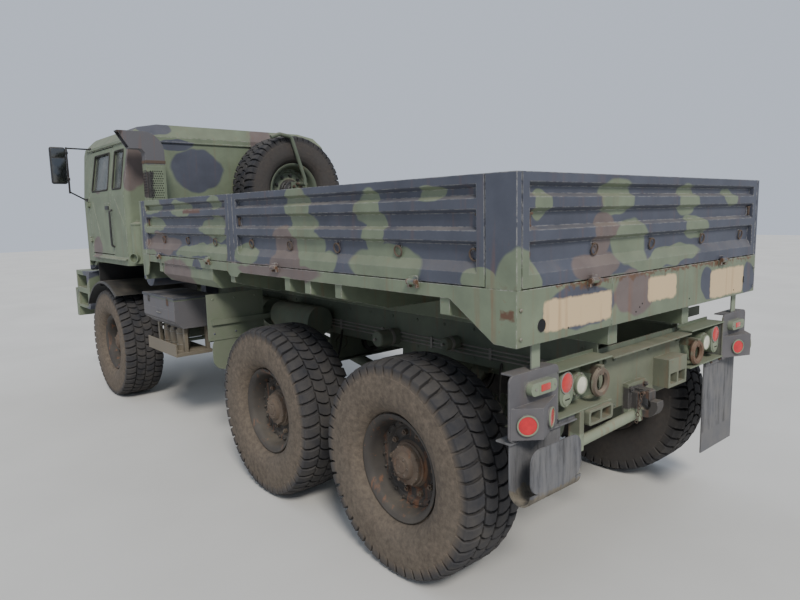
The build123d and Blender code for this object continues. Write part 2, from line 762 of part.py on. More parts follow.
def side_prism(points, side, grow=0.0, mode=Mode.SUBTRACT):
    """Cuts or keeps what lies behind an outline on one side of the cab."""
    with BuildSketch(Plane.YZ.offset(side * cab_half + side * 60)) as outline:
        Polygon(*points, align=None)
        if grow:
            offset(amount=grow, kind=Kind.INTERSECTION, mode=Mode.REPLACE)
    extrude(outline.sketch, amount=-side * 400, mode=mode)


def screen_prism(shrink=0.0, mode=Mode.SUBTRACT):
    """Cuts or keeps the two windscreen panes."""
    with BuildSketch(Plane.XZ.offset(-cab_front - 50)) as panes:
        for side in (-1, 1):
            near, far = screen_post + shrink, screen_half - shrink
            Polygon((side * near, screen_low + shrink), (side * far, screen_low + shrink),
                    (side * (far - 25), screen_high - shrink), (side * near,
                                                                screen_high - shrink), align=None)
    extrude(panes.sketch, amount=620, mode=mode)


inner_body = cab_body(cab_wall)
with BuildPart() as shell:
    add(cab_body(0))
    add(inner_body, mode=Mode.SUBTRACT)
with BuildPart() as pane_skin:
    add(cab_body(glass_inset))
    add(cab_body(glass_inset + glass_thickness), mode=Mode.SUBTRACT)

everywhere = (-3000, 3000)
back_cut = cab_rear + cab_wall
nose_cut = cab_front - nose_start
floor_cut = 1600

with BuildPart() as roof:
    add(shell.part)
    slab(everywhere, (0, 5000), (roof_seam, 4000), mode=Mode.INTERSECT)
save(roof, "cab_roof")

tunnel_wall = 25
tunnel_rear = back_cut
tunnel_front = engine_front + 90
with BuildPart() as floor:
    with BuildSketch() as plan:
        Polygon((-cab_half, cab_rear), (cab_half, cab_rear), (cab_half, nose_cut),
                (nose_half, cab_front), (-nose_half, cab_front), (-cab_half, nose_cut), align=None)
        offset(amount=-cab_wall - 0.3, kind=Kind.INTERSECTION, mode=Mode.REPLACE)
    extrude(plan.sketch, amount=floor_cut)
    add(shell.part, mode=Mode.INTERSECT)
    slab((-tunnel_half, tunnel_half), (tunnel_rear + 1, tunnel_front), (cab_bottom, tunnel_top))
    slab((tunnel_wall - tunnel_half, tunnel_half - tunnel_wall), (tunnel_rear, tunnel_front - tunnel_wall),
         (nose_bottom - 1, tunnel_top - tunnel_wall), mode=Mode.SUBTRACT)
    # Ears that hang on the tilt pivots
    for side in (-1, 1):
        ear = (side * (spring_x - 25), side * (spring_x + 25))
        y = cab_front - tilt_pivot_back
        slab(span(*ear), (y - 30, y + 30), (tilt_pivot_z, nose_bottom))
        rod((min(ear), y, tilt_pivot_z), (max(ear), y, tilt_pivot_z), 30)
        rod((min(ear) - 1, y, tilt_pivot_z), (max(ear) + 1, y, tilt_pivot_z),
            tilt_pin_radius + running_gap, mode=Mode.SUBTRACT)
save(floor, "cab_floor")

gutter_z = eave_z - 32
gutter_height = 14
gutter_reach = 16
with BuildPart() as back:
    add(shell.part)
    slab(everywhere, (0, back_cut), (cab_bottom, roof_seam), mode=Mode.INTERSECT)
    # Rain gutter and a lower seam rib across the back
    for z, reach, half in ((gutter_z, gutter_reach, eave_half - 70), (belt_z - 260, 6, cab_half - 90)):
        slab((-half, half), (cab_rear - reach, cab_rear + 8), (z, z + gutter_height))
save(back, "cab_back")

grille_half = 640
grille_low = 1650
grille_high = 1780
grille_depth = 18
grille_bars = 4
panel_press_half = 600
with BuildPart() as nose:
    add(shell.part)
    slab(everywhere, (nose_cut, 5000), (nose_bottom, roof_seam), mode=Mode.INTERSECT)
    with BuildSketch() as plan:
        Polygon((-cab_half, cab_rear), (cab_half, cab_rear), (cab_half, nose_cut),
                (nose_half, cab_front), (-nose_half, cab_front), (-cab_half, nose_cut), align=None)
        offset(amount=-cab_wall, kind=Kind.INTERSECTION, mode=Mode.REPLACE)
    extrude(plan.sketch, amount=floor_cut, mode=Mode.SUBTRACT)
    screen_prism()
    # Grille: a shallow recess with bars across it, and a pressed panel above
    slab((-grille_half, grille_half), (cab_front - grille_depth, cab_front + 1), (grille_low, grille_high),
         mode=Mode.SUBTRACT)
    bar_pitch = (grille_high - grille_low) / (grille_bars + 1)
    for n in range(grille_bars):
        z = grille_low + bar_pitch * (n + 1)
        slab((-grille_half - 1, grille_half + 1), (cab_front - grille_depth - 1, cab_front - 3), (z - 7,
                                                                                                  z + 7))
    for x in (-grille_half / 3, grille_half / 3):
        slab((x - 8, x + 8), (cab_front - grille_depth - 1, cab_front - 3), (grille_low - 1, grille_high + 1))
    slab((-panel_press_half, panel_press_half), (cab_front - 1, cab_front + 5), (grille_high + 60,
                                                                                 scuttle_z - 60))
save(nose, "cab_front")

door_hinge_y = door_high_y + 10
lip_top = door_bottom - 14
lip_drop = 26
lip_flare = 30
lip_front = door_high_y - 45
for word, side in (("left", -1), ("right", 1)):
    hinge_x = side * (cab_half + hinge_offset)
    with BuildPart() as flank:
        add(shell.part)
        slab(span(0, side * 3000), (back_cut, nose_cut), (cab_bottom, roof_seam), mode=Mode.INTERSECT)
        slab(span(0, side * (cab_half - cab_wall)), (0, 5000), (0, floor_cut), mode=Mode.SUBTRACT)
        side_prism(door_outline, side, grow=door_gap)
        side_prism(quarter_window, side)
        for z in door_hinge_heights:
            hinge_fixed(hinge_plane((hinge_x, door_hinge_y, z), (side, 0, 0), (0, 1, 0)))
        # Rain gutter over the door
        skin = eave_half + (cab_half - eave_half) * (eave_z - gutter_z) / (eave_z - belt_z)
        slab(span(side * (skin - 12), side * (skin + gutter_reach)), (cab_rear + 90, nose_cut - 4),
             (gutter_z, gutter_z + gutter_height))
        # Flared fender lip under the door
        with BuildSketch(Plane.XZ.offset(-(back_cut + 2))) as lip:
            Polygon((side * (cab_half - 12), lip_top), (side * (cab_half + lip_flare), lip_top - lip_drop),
                    (side * (cab_half + lip_flare), lip_top - lip_drop - 9), (side * (cab_half - 12),
                                                                              lip_top - 18), align=None)
        extrude(lip.sketch, amount=-(lip_front - back_cut - 2))
    save(flank, f"cab_side_{word}")
    with BuildPart() as door:
        add(shell.part)
        side_prism(door_outline, side, mode=Mode.INTERSECT)
        side_prism(door_window, side)
        for z in door_hinge_heights:
            hinge_moving(hinge_plane((hinge_x, door_hinge_y, z), (side, 0, 0), (0, 1, 0)))
    save(door, f"door_{word}")
    with BuildPart() as pane:
        add(pane_skin.part)
        side_prism(door_window, side, grow=-glass_edge, mode=Mode.INTERSECT)
    save(pane, f"door_glass_{word}")

with BuildPart() as screen:
    add(pane_skin.part)
    screen_prism(shrink=glass_edge, mode=Mode.INTERSECT)
for side in (-1, 1):
    with BuildPart() as pane:
        add(pane_skin.part)
        side_prism(quarter_window, side, grow=-glass_edge, mode=Mode.INTERSECT)
    with screen:
        add(pane.part)
save(screen, "cab_glass")

# Seats, dashboard with steering wheel, and mirrors
floor_level = cab_bottom + cab_wall
seat_x = 620
seat_y = cab_rear + 520
seat_half = 240
seat_height = 330
cushion_height = 110
backrest_height = 620
backrest_depth = 110
backrest_lean = 12
seat_corner = 70
with BuildPart() as seats:
    for side in (-1, 1):
        x = (side * seat_x - seat_half, side * seat_x + seat_half)
        top = floor_level + seat_height
        slab((x[0] + 70, x[1] - 70), (seat_y - 180, seat_y + 180), (floor_level, top - cushion_height))
        with BuildSketch(Plane.XY.offset(top - cushion_height)) as cushion:
            with Locations((side * seat_x, seat_y)):
                RectangleRounded(2 * seat_half, 500, seat_corner)
        extrude(cushion.sketch, amount=cushion_height)
        tilt = radians(backrest_lean)
        lean_plane = Plane(origin=(side * seat_x, seat_y - 240, top - 10), x_dir=(1, 0, 0),
                           z_dir=(0, -cos(tilt), -sin(tilt)))
        with BuildSketch(lean_plane) as backrest:
            with Locations((0, backrest_height / 2)):
                RectangleRounded(2 * seat_half - 40, backrest_height, seat_corner)
        extrude(backrest.sketch, amount=backrest_depth)
save(seats, "seats")

dash_depth = 330
dash_bottom = 1760
dash_top = 2040
wheel_rim_radius = 235
wheel_tube_radius = 17
steering_x = -seat_x
column_lean = 35
with BuildPart() as dashboard:
    face = cab_front - cab_wall
    dash_half = nose_half - nose_corner_radius
    with BuildSketch(Plane.YZ.offset(-dash_half)) as section:
        Polygon((face, dash_bottom), (face, dash_top - 65), (face - 65, dash_top), (face - dash_depth,
                                                                                    dash_top),
                (face - dash_depth + 60, dash_bottom), align=None)
    extrude(section.sketch, amount=2 * dash_half)
    rim_centre = Vector(steering_x, face - dash_depth - 150, dash_top + 60)
    lean = Vector(0, sin(radians(column_lean)), -cos(radians(column_lean)))
    rod(tuple(rim_centre - lean * 15), tuple(rim_centre + lean * 360), 34)
    rim_plane = Plane(origin=rim_centre, x_dir=(1, 0, 0), z_dir=lean)
    with Locations(rim_plane):
        Box(2 * wheel_rim_radius, 34, 12)
        Box(34, wheel_rim_radius, 12, align=(Align.CENTER, Align.MIN, Align.CENTER))
    ring(rim_centre, (1, 0, 0), lean, wheel_rim_radius, wheel_tube_radius)
save(dashboard, "dashboard")

mirror_x = (1370, 1530)
mirror_y = cab_front - 590
mirror_z = (eave_z - 385, eave_z + 10)
mirror_depth = 55
mirror_arm_radius = 10
mirror_stem_radius = 13
mirror_foot_drop = 15
with BuildPart() as mirrors:
    for side in (-1, 1):
        slab(span(side * mirror_x[0], side * mirror_x[1]), (mirror_y, mirror_y + mirror_depth), mirror_z)
        y = mirror_y + mirror_depth / 2
        stem = side * (mirror_x[0] - 10)
        rod((stem, y, belt_z + 60), (stem, y, mirror_z[1] - 2), mirror_stem_radius)
        skin = eave_half + (cab_half - eave_half) * mirror_foot_drop / (eave_z - belt_z)
        high_foot = side * (skin + face_gap + 3)
        low_foot = side * (cab_half + face_gap + 4)
        arm_z = eave_z - 1
        rod((high_foot + side * 2, y + 30, arm_z), (stem, y, arm_z), mirror_arm_radius)
        rod((low_foot + side * 6, y + 30, belt_z - 15), (stem, y, belt_z + 72), mirror_arm_radius)
        slab(span(high_foot - 3, high_foot + 3), (y + 5, y + 55), (eave_z - mirror_foot_drop, eave_z + 13))
        slab(span(low_foot - 4, low_foot + 4), (y + 5, y + 55), (belt_z - 40, belt_z))
save(mirrors, "mirrors")

# Bumper with step, grille panel and towing eyes
bumper_half = 1205
bumper_bottom = 760
bumper_top = 1100
bumper_back = frame_front
tow_eye_x = 520
tow_eye_bore = 22
headlamp_x = 930
headlamp_z = 940
headlamp_radius = 95
step_in = 1000
step_out = 1200
step_rear = 2850
step_top = 1320
with BuildPart() as bumper:
    with BuildSketch(Plane.XY.offset(bumper_bottom)) as plan:
        Polygon((-bumper_half, bumper_back), (-bumper_half, bumper_front - 70), (-bumper_half + 150,
                                                                                 bumper_front),
                (bumper_half - 150, bumper_front), (bumper_half, bumper_front - 70), (bumper_half,
                                                                                      bumper_back),
                                                                                      align=None)
    extrude(plan.sketch, amount=bumper_top - bumper_bottom)
    slab((-880, 880), (bumper_back + 6, bumper_back + 22), (bumper_top - 4, rail_top - 10))
    for side in (-1, 1):
        eye = side * tow_eye_x
        slab((eye - 22, eye + 22), (bumper_front - 4, bumper_front), (headlamp_z - 60, headlamp_z + 60))
        rod((side * headlamp_x, bumper_front - 60, headlamp_z), (side * headlamp_x, bumper_front + 1,
                                                                 headlamp_z),
            headlamp_radius + 8, mode=Mode.SUBTRACT)
        rod((eye, bumper_front - 40, bumper_bottom - 1), (eye, bumper_front - 40, bumper_top + 1),
            tow_eye_bore,
            mode=Mode.SUBTRACT)
    # Front fender panels with two steps, behind the bumper's ends
    for side in (-1, 1):
        with BuildSketch(Plane.YZ.offset(side * step_in)) as fender:
            Polygon((bumper_back + 1, bumper_bottom + 120), (bumper_back + 1, step_top), (step_rear - 50,
                                                                                          step_top),
                    (step_rear, bumper_bottom + 120), align=None)
        extrude(fender.sketch, amount=side * (step_out - step_in))
        for low in (bumper_bottom + 150, bumper_bottom + 360):
            slab(span(side * (step_out - 130), side * (step_out + 1)), (step_rear + 60, bumper_back - 40),
                 (low, low + 150),
                 mode=Mode.SUBTRACT)
save(bumper, "bumper")

# Left flank: battery box with its tray, and a long stowage box under the edge rail
battery_y = (bed_front - 600, bed_front + 150)
battery_top = 1240
battery_bottom = 965
tray_z = 715
stowage_y = (bed_front - 1440, bed_front - 450)
stowage_knee = 65
bottle_radius = 52
with BuildPart() as side_boxes:
    with BuildSketch(Plane.XZ.offset(-battery_y[0])) as section:
        Polygon((-1195, battery_top - 20), (-1195, battery_bottom + 70), (-1125, battery_bottom), (-820,
                                                                                                   battery_bottom),
                (-820, battery_top - 20), align=None)
    extrude(section.sketch, amount=-(battery_y[1] - battery_y[0]))
    slab((-1202, -815), (battery_y[0] - 6, battery_y[1] + 6), (battery_top - 21, battery_top))
    slab((-1190, -860), (battery_y[0] + 40, battery_y[1] - 40), (tray_z, tray_z + 30))
    slab((-1190, -1180), (battery_y[0] + 40, battery_y[1] - 40), (tray_z + 29, tray_z + 110))
    for y in (battery_y[0] + 60, battery_y[1] - 100):
        for x in (-1100, -900):
            slab((x, x + 30), (y, y + 40), (tray_z + 29, battery_bottom + 1))
    for n in range(3):
        y = battery_y[0] + 200 + 150 * n
        rod((-1060, y, tray_z + 29), (-1060, y, battery_bottom + 1), bottle_radius)
    for y in (battery_y[0] + 60, battery_y[1] - 120):
        slab((-821, -rail_outside), (y, y + 60), (1060, 1130))
    # Long stowage trough with cut lower corners
    with BuildSketch(Plane.XZ.offset(-stowage_y[0])) as section:
        low = side_rail_bottom - 153
        Polygon((-1205, side_rail_bottom), (-1205, low + stowage_knee), (-1205 + stowage_knee, low), (-800,
                                                                                                      low),
                (-800, side_rail_bottom), align=None)
    extrude(section.sketch, amount=-(stowage_y[1] - stowage_y[0]))
save(side_boxes, "side_boxes")

# Right flank: fuel tank; between the left rail and the wheels: two air tanks
tank_y = (bed_front - 1250, bed_front + 50)
strap_width = 50
strap_depth = 5
tank_half = 280
tank_height = 540
tank_x = 880
tank_z = 880
air_tank_radius = 110
air_tank_length = 560
air_tank_z = 1120
air_tank_x = -(rail_outside + air_tank_radius + 50)
with BuildPart() as tanks:
    with BuildSketch(Plane.XZ.offset(-tank_y[0])) as section:
        with Locations((tank_x, tank_z)):
            RectangleRounded(2 * tank_half, tank_height, 90)
    extrude(section.sketch, amount=-(tank_y[1] - tank_y[0]))
    for y in (tank_y[0] + 200, tank_y[1] - 280):
        slab((rail_outside, tank_x - tank_half + 1), (y, y + 80), (1040, 1120))
        with BuildSketch(Plane.XZ.offset(-(y + 15))) as strap:
            with Locations((tank_x, tank_z)):
                RectangleRounded(2 * (tank_half + strap_depth), tank_height + 2 * strap_depth,
                                 90 + strap_depth)
        extrude(strap.sketch, amount=-strap_width)
    rod((tank_x + 60, tank_y[0] + 90, tank_z + 260), (tank_x + 60, tank_y[0] + 90,
                                                      tank_z + tank_height / 2 + 45), 62)
    for y in (mid_axle_y + 170, mid_axle_y + 870):
        rod((air_tank_x, y, air_tank_z), (air_tank_x, y + air_tank_length, air_tank_z), air_tank_radius)
        for near in (90, 410):
            slab((air_tank_x, -rail_outside), (y + near, y + near + 60), (air_tank_z - 30, air_tank_z + 30))
save(tanks, "tanks")

# Splash guard ahead of the middle wheels, mud flaps behind the rear ones
flap_thickness = 8
guard_y = mid_axle_y + tyre_radius + 205
guard_corner = 90
flap_width = (835, 1195)
flap_front = bed_rear + 52
loop_radius = 60
loop_centre = (bed_rear, 740)
loop_top = 935
flange_z = 940
shelf_low = 975
with BuildPart() as guards:
    for side in (-1, 1):
        slab(span(side * 730, side * 1210), (guard_y, guard_y + flap_thickness), (980, 1330))
        with BuildSketch(Plane.XZ.offset(-guard_y)) as lower:
            with Locations((side * 990, 865)):
                RectangleRounded(380, 270, guard_corner)
        extrude(lower.sketch, amount=-flap_thickness)
        slab(span(side * rail_outside, side * 731), (guard_y - 20, guard_y), (1090, 1130))
        slab(span(side * 700, side * 1180), (guard_y - 20, guard_y), (1090, 1130))
        slab(span(side * 715, side * 1212), (guard_y - 6, guard_y), (968, 984))
    # The right rear flap hangs straight from a clamp bar under the lamp shelf
    slab((700, 1145), (bed_rear + 70, bed_rear + 70 + flap_thickness), (375, shelf_low))
    slab((700, 1145), (bed_rear + 60, bed_rear + 71), (shelf_low - 38, shelf_low))
    # The left one has curled up into a loop: front leg, bend and rear leg
    near, far = flap_width
    slab((-far, -near), (flap_front, flap_front + flap_thickness), (loop_centre[1], flange_z + 1))
    with BuildSketch(Plane.YZ.offset(-far)) as bend:
        with Locations(loop_centre):
            Circle(loop_radius)
            Circle(loop_radius - flap_thickness, mode=Mode.SUBTRACT)
        with Locations((loop_centre[0], loop_centre[1] + loop_radius)):
            Rectangle(3 * loop_radius, 2 * loop_radius, mode=Mode.SUBTRACT)
    extrude(bend.sketch, amount=far - near)
    with BuildSketch(Plane.XZ.offset(-(loop_centre[0] - loop_radius))) as leg:
        middle = -(near + far) / 2
        with Locations((middle, (loop_top + loop_centre[1]) / 2)):
            Rectangle(far - near, loop_top - loop_centre[1])
        fillet(leg.vertices().group_by(Axis.Z)[-1], loop_radius)
    extrude(leg.sketch, amount=-flap_thickness)
    slab((-far - 12, -720), (bed_rear + 40, bed_rear + 120), (flange_z, flange_z + 8))
    slab((-near - 10, -720), (flap_front, flap_front + flap_thickness), (flange_z + 7, shelf_low))
save(guards, "mud_flaps")

# Rear lamp panels: plate, marker lamp, folded reflector bracket, and a shelf channel with two lamps
plate_x = (870, 1215)
plate_z = (950, 1240)
plate_y = bed_rear + 40
plate_sheet = 8
shelf_high = 1195
shelf_deep = bed_rear + 150
vee_tip = (1095, bed_rear - 45)
tail_lamp_x = 790
reverse_lamp_x = 668
with BuildPart() as lamps:
    for side in (-1, 1):
        with BuildSketch(Plane.XZ.offset(-plate_y)) as plate:
            with Locations((side * sum(plate_x) / 2, sum(plate_z) / 2)):
                RectangleRounded(plate_x[1] - plate_x[0], plate_z[1] - plate_z[0], 32)
        extrude(plate.sketch, amount=-plate_sheet)
        slab(span(side * (plate_x[0] + 30), side * (plate_x[1] - 30)), (plate_y + 2, plate_y + 70),
             (plate_z[1] - 7, plate_z[1]))
        # Marker lamp
        with BuildSketch(Plane.XZ.offset(-(plate_y + 1))) as marker:
            with Locations((side * 1020, 1165)):
                RectangleRounded(180, 58, 26)
        extrude(marker.sketch, amount=36)
        # Folded bracket with a round reflector on each face
        with BuildSketch(Plane.XY.offset(962)) as vee:
            Polygon((side * 1203, plate_y + 1), (side * vee_tip[0], vee_tip[1]), (side * 888, plate_y + 1),
                    align=None)
        extrude(vee.sketch, amount=138)
        tip = Vector(side * vee_tip[0], vee_tip[1], 1028)
        for foot in (1203, 888):
            root = Vector(side * foot, plate_y + 1, 1028)
            middle = tip + (root - tip) * 0.5
            normal = (root - tip).cross(Vector(0, 0, 1)).normalized()
            if normal.Y > 0:
                normal = normal * -1
            rod(tuple(middle - normal * 4), tuple(middle + normal * 9), 46)
        # Strap to the rear sill
        slab(span(side * 1000, side * 1060), (plate_y + 6, plate_y + 14), (plate_z[1] - 4,
                                                                           floor_top - sill_height))
        # Channel: back plate and two shelves from the frame rail to the plate
        slab(span(side * rail_outside, side * (plate_x[0] + 10)), (shelf_deep - 6, shelf_deep), (shelf_low,
                                                                                                 shelf_high + 24))
        slab(span(side * rail_outside, side * (plate_x[0] + 10)), (bed_rear + 34, shelf_deep), (shelf_low,
                                                                                                shelf_low + 7))
        slab(span(side * rail_outside, side * (plate_x[0] + 10)), (bed_rear + 34, shelf_deep), (shelf_high,
                                                                                                shelf_high + 7))
        slab(span(side * (plate_x[0] + 2), side * (plate_x[0] + 10)), (plate_y + 2, shelf_deep), (shelf_low,
                                                                                                  shelf_high + 7))
        # Oval tail lamp over its blackout lamp, then the round reversing lamp
        with BuildSketch(Plane.XZ.offset(-(shelf_deep - 5))) as tail:
            with Locations((side * tail_lamp_x, 1098)):
                RectangleRounded(104, 168, 51)
        extrude(tail.sketch, amount=92)
        with BuildSketch(Plane.XZ.offset(-(shelf_deep - 5))) as reverse:
            with Locations((side * reverse_lamp_x, 1096)):
                RegularPolygon(60, 8)
        extrude(reverse.sketch, amount=78)
        rod((side * reverse_lamp_x, shelf_deep - 80, 1096), (side * reverse_lamp_x, shelf_deep - 97, 1096),
            47)
        # Headlamps in the bumper
        rod((side * headlamp_x, bumper_front - 60, headlamp_z), (side * headlamp_x, bumper_front - 10,
                                                                 headlamp_z),
            headlamp_radius)
save(lamps, "lamps")

# Rear crossbeam with pintle hook, shackles, receivers and a cross tube
hook_x = -110
hook_z = 895
hook_radius = 72
jaw_radius = 34
beam_y = frame_rear - 14
shackle_radius = 58
shackle_bar = 17
tube_radius = 27
with BuildPart() as hitch:
    slab((rail_outside, 1100), (bed_rear + 290, bed_rear + 302), (1190, 1250))
    slab((-rail_outside, rail_outside), (beam_y, frame_rear), (880, 1191))
    slab((-rail_outside + 10, rail_outside - 10), (beam_y - 76, beam_y + 1), (1183, 1191))
    # Pintle: base plate, stem, horn and the latch over it
    slab((hook_x - 90, hook_x + 90), (beam_y - 34, beam_y + 1), (790, 1000))
    with BuildSketch(Plane.YZ.offset(hook_x - 32)) as horn:
        with Locations((bed_rear - pintle_reach + hook_radius, hook_z)):
            Circle(hook_radius)
            Circle(jaw_radius, mode=Mode.SUBTRACT)
        with Locations((bed_rear - pintle_reach + 18, hook_z + 56)):
            Rectangle(54, 70, mode=Mode.SUBTRACT)
    extrude(horn.sketch, amount=64)
    slab((hook_x - 24, hook_x + 24), (bed_rear - 8, beam_y - 30), (hook_z + 40, hook_z + 76))
    slab((hook_x - 60, hook_x + 60), (bed_rear + 40, beam_y - 30), (hook_z - 60, hook_z + 60))
    # Shackles on their eyes
    for x, z in ((-525, 1085), (520, 1060)):
        slab((x - 14, x + 14), (bed_rear + 30, shelf_deep - 6), (z + 36, z + 84))
        ring(Vector(x, bed_rear + 44, z), (1, 0, 0), (0, 1, 0), shackle_radius, shackle_bar)
    # Twin receivers under the left shelf
    with BuildSketch(Plane.XZ.offset(-(bed_rear + 10))) as twin:
        with Locations((-560, shelf_low - 38)):
            RectangleRounded(210, 75, 16)
        for x in (-608, -512):
            with Locations((x, shelf_low - 38)):
                RectangleRounded(82, 52, 10, mode=Mode.SUBTRACT)
    extrude(twin.sketch, amount=-100)
    # Box bracket with two square holes, right of the hook
    slab((120, 330), (bed_rear + 12, beam_y + 1), (925, 1085))
    for x in (138, 232):
        slab((x, x + 80), (bed_rear + 11, bed_rear + 70), (942, 1004), mode=Mode.SUBTRACT)
    # Cross tube between two clevises
    rod((-694, bed_rear + 62, 812), (-118, bed_rear + 62, 832), tube_radius)
    slab((-712, -676), (bed_rear + 30, bed_rear + 92), (780, shelf_low))
    slab((-150, -112), (bed_rear + 34, beam_y + 1), (796, 868))
save(hitch, "tow_hitch")

# Exhaust: silencer across the frame behind the cab, stack with an outward bend
stack_y = cab_rear - 230
silencer_z = rail_top + 150
stack_x = (-1060, -880)
stack_half_depth = 50
stack_bend = 190
mouth_top = (-1298, 2720)
mouth_bottom = (-1195, 2560)
stack_wall = 12
can_place = (-1108, cab_rear - 118)
can_radius = 78
can_z = (1490, 1890)
with BuildPart() as exhaust:
    rod((-1085, stack_y, silencer_z), (-440, stack_y, silencer_z), 125)
    slab((-560, -rail_outside), (stack_y - 60, stack_y + 60), (rail_top - 120, silencer_z - 100))
    with BuildSketch(Plane.XZ.offset(-(stack_y - stack_half_depth))) as duct:
        with BuildLine():
            top_z = mouth_top[1]
            turn_z = top_z - stack_bend
            corner = stack_bend * cos(pi / 4)
            Line((stack_x[1], silencer_z), (stack_x[1], turn_z))
            ThreePointArc((stack_x[1], turn_z), (stack_x[1] - stack_bend + corner, turn_z + corner),
                          (stack_x[1] - stack_bend, top_z))
            Line((stack_x[1] - stack_bend, top_z), mouth_top)
            Line(mouth_top, mouth_bottom)
            Line(mouth_bottom, (stack_x[0] - 30, mouth_bottom[1]))
            Line((stack_x[0] - 30, mouth_bottom[1]), (stack_x[0], mouth_bottom[1] - 30))
            Line((stack_x[0], mouth_bottom[1] - 30), (stack_x[0], silencer_z))
            Line((stack_x[0], silencer_z), (stack_x[1], silencer_z))
        make_face()
    extrude(duct.sketch, amount=-2 * stack_half_depth)
    # The mouth is hollow
    with BuildSketch(Plane.XZ.offset(-(stack_y - stack_half_depth + stack_wall))) as throat:
        Polygon((mouth_top[0] - 40, mouth_top[1] - stack_wall), (stack_x[0] - 60, mouth_top[1] - stack_wall),
                (stack_x[0] - 60, mouth_bottom[1] + stack_wall), (mouth_bottom[0] - 60,
                                                                  mouth_bottom[1] + stack_wall), align=None)
    extrude(throat.sketch, amount=-2 * (stack_half_depth - stack_wall), mode=Mode.SUBTRACT)
    # Heat shield on the column
    slab((stack_x[0] + 20, stack_x[1] - 20), (stack_y - stack_half_depth - 8,
                                              stack_y - stack_half_depth + 1), (1960, 2400))
    # Air intake can with its domed cap and a short inlet pipe
    x, y = can_place
    rod((x, y, can_z[0]), (x, y, can_z[1] - 30), can_radius)
    with BuildSketch(Plane(origin=(x, y, 0), x_dir=(1, 0, 0), z_dir=(0, -1, 0))) as cap:
        Polygon((0, can_z[1] - 31), (can_radius + 6, can_z[1] - 31), (can_radius + 6, can_z[1] - 18), (40,
                                                                                                       can_z[1]),
                (0, can_z[1]), align=None)
    revolve(cap.sketch, axis=Axis((x, y, 0), (0, 0, 1)))
    rod((x - 20, y, can_z[0] + 55), (x - 95, y - 45, can_z[0] + 55), 50)
    rod((x - 60, y - 24, can_z[0] + 55), (x - 105, y - 51, can_z[0] + 55), 40, mode=Mode.SUBTRACT)
    slab((x + 20, -900), (stack_y + 30, y + 20), (1600, 1640))
save(exhaust, "exhaust_stack")

# Spare wheel upright behind the cab, with its carrier and davit
spare_x = 470
spare_z = 2180
spare_to_cab = 445
spare_face = cab_rear - spare_to_cab
spare_y = spare_face + tyre_width / 2
place_wheel("spare", (spare_x, spare_y, spare_z), -90)

davit_radius = 20
carrier_y = spare_face + tyre_width + 2
davit_y = spare_face - 30
hub_nose_y = spare_y - (rim_width / 2 - disc_inset + hub_reach)
with BuildPart() as carrier:
    slab((-rail_outside, rail_outside + 200), (carrier_y - 200, carrier_y + 40), (rail_top, rail_top + 60))
    slab((spare_x - 160, spare_x + 160), (carrier_y, carrier_y + 36), (rail_top + 59, spare_z + 140))
    rod((spare_x, carrier_y + 1, spare_z), (spare_x, spare_y - 6, spare_z), spindle_radius)
    with BuildLine(Plane.XZ.offset(-davit_y)) as davit_path:
        FilletPolyline((548, 2238), (548, 2300), (402, 2735), (262, 2757), (160, 2720), radius=55)
    with BuildSketch(Plane(origin=davit_path.line @ 0, z_dir=davit_path.line % 0)) as davit_section:
        Circle(davit_radius)
    sweep(davit_section.sketch, path=davit_path.line)
    rod((548, davit_y - 20, 2248), (548, hub_nose_y - face_gap - 5, 2248), davit_radius)
    slab((440, 575), (hub_nose_y - face_gap - 12, hub_nose_y - face_gap), (2150, 2275))
save(carrier, "spare_carrier")
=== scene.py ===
import bpy
import bmesh
from math import radians, pi, sin, cos
from mathutils import Matrix, Vector


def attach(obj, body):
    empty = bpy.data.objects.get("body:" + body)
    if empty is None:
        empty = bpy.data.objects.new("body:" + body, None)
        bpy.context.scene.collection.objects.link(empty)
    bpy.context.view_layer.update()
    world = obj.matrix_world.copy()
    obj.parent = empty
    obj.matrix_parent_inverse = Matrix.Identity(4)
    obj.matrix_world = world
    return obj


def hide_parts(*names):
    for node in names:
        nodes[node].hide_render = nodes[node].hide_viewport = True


# Six-wheel-drive cargo truck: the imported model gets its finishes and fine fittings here
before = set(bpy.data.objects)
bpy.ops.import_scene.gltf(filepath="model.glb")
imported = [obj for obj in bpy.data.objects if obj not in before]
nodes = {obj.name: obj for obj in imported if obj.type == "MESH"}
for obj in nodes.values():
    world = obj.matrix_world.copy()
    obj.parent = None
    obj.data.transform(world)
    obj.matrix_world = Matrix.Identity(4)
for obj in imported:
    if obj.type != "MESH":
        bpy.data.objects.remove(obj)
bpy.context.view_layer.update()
scene = bpy.context.scene
print("frame loaded:", len(nodes), "nodes")


def placeObject(name, data):
    made = bpy.data.objects.new(name, data)
    scene.collection.objects.link(made)
    return made


# Camera and lights
cameraSetup = {"place": (-3.197, -5.004, 1.925), "yaw": 40.7, "pitch": -7.96, "roll": -1.29, "lens": 28.3}
lens = bpy.data.cameras.new("photoCamera")
lens.lens, lens.sensor_width, lens.clip_end = cameraSetup["lens"], 36, 200
camera = placeObject("photoCamera", lens)
turned = Matrix.Translation(cameraSetup["place"])
for angle, axis in ((-cameraSetup["yaw"], "Z"), (90 + cameraSetup["pitch"], "X"), (cameraSetup["roll"], "Z")):
    turned = turned @ Matrix.Rotation(radians(angle), 4, axis)
camera.matrix_world = turned
scene.camera = camera

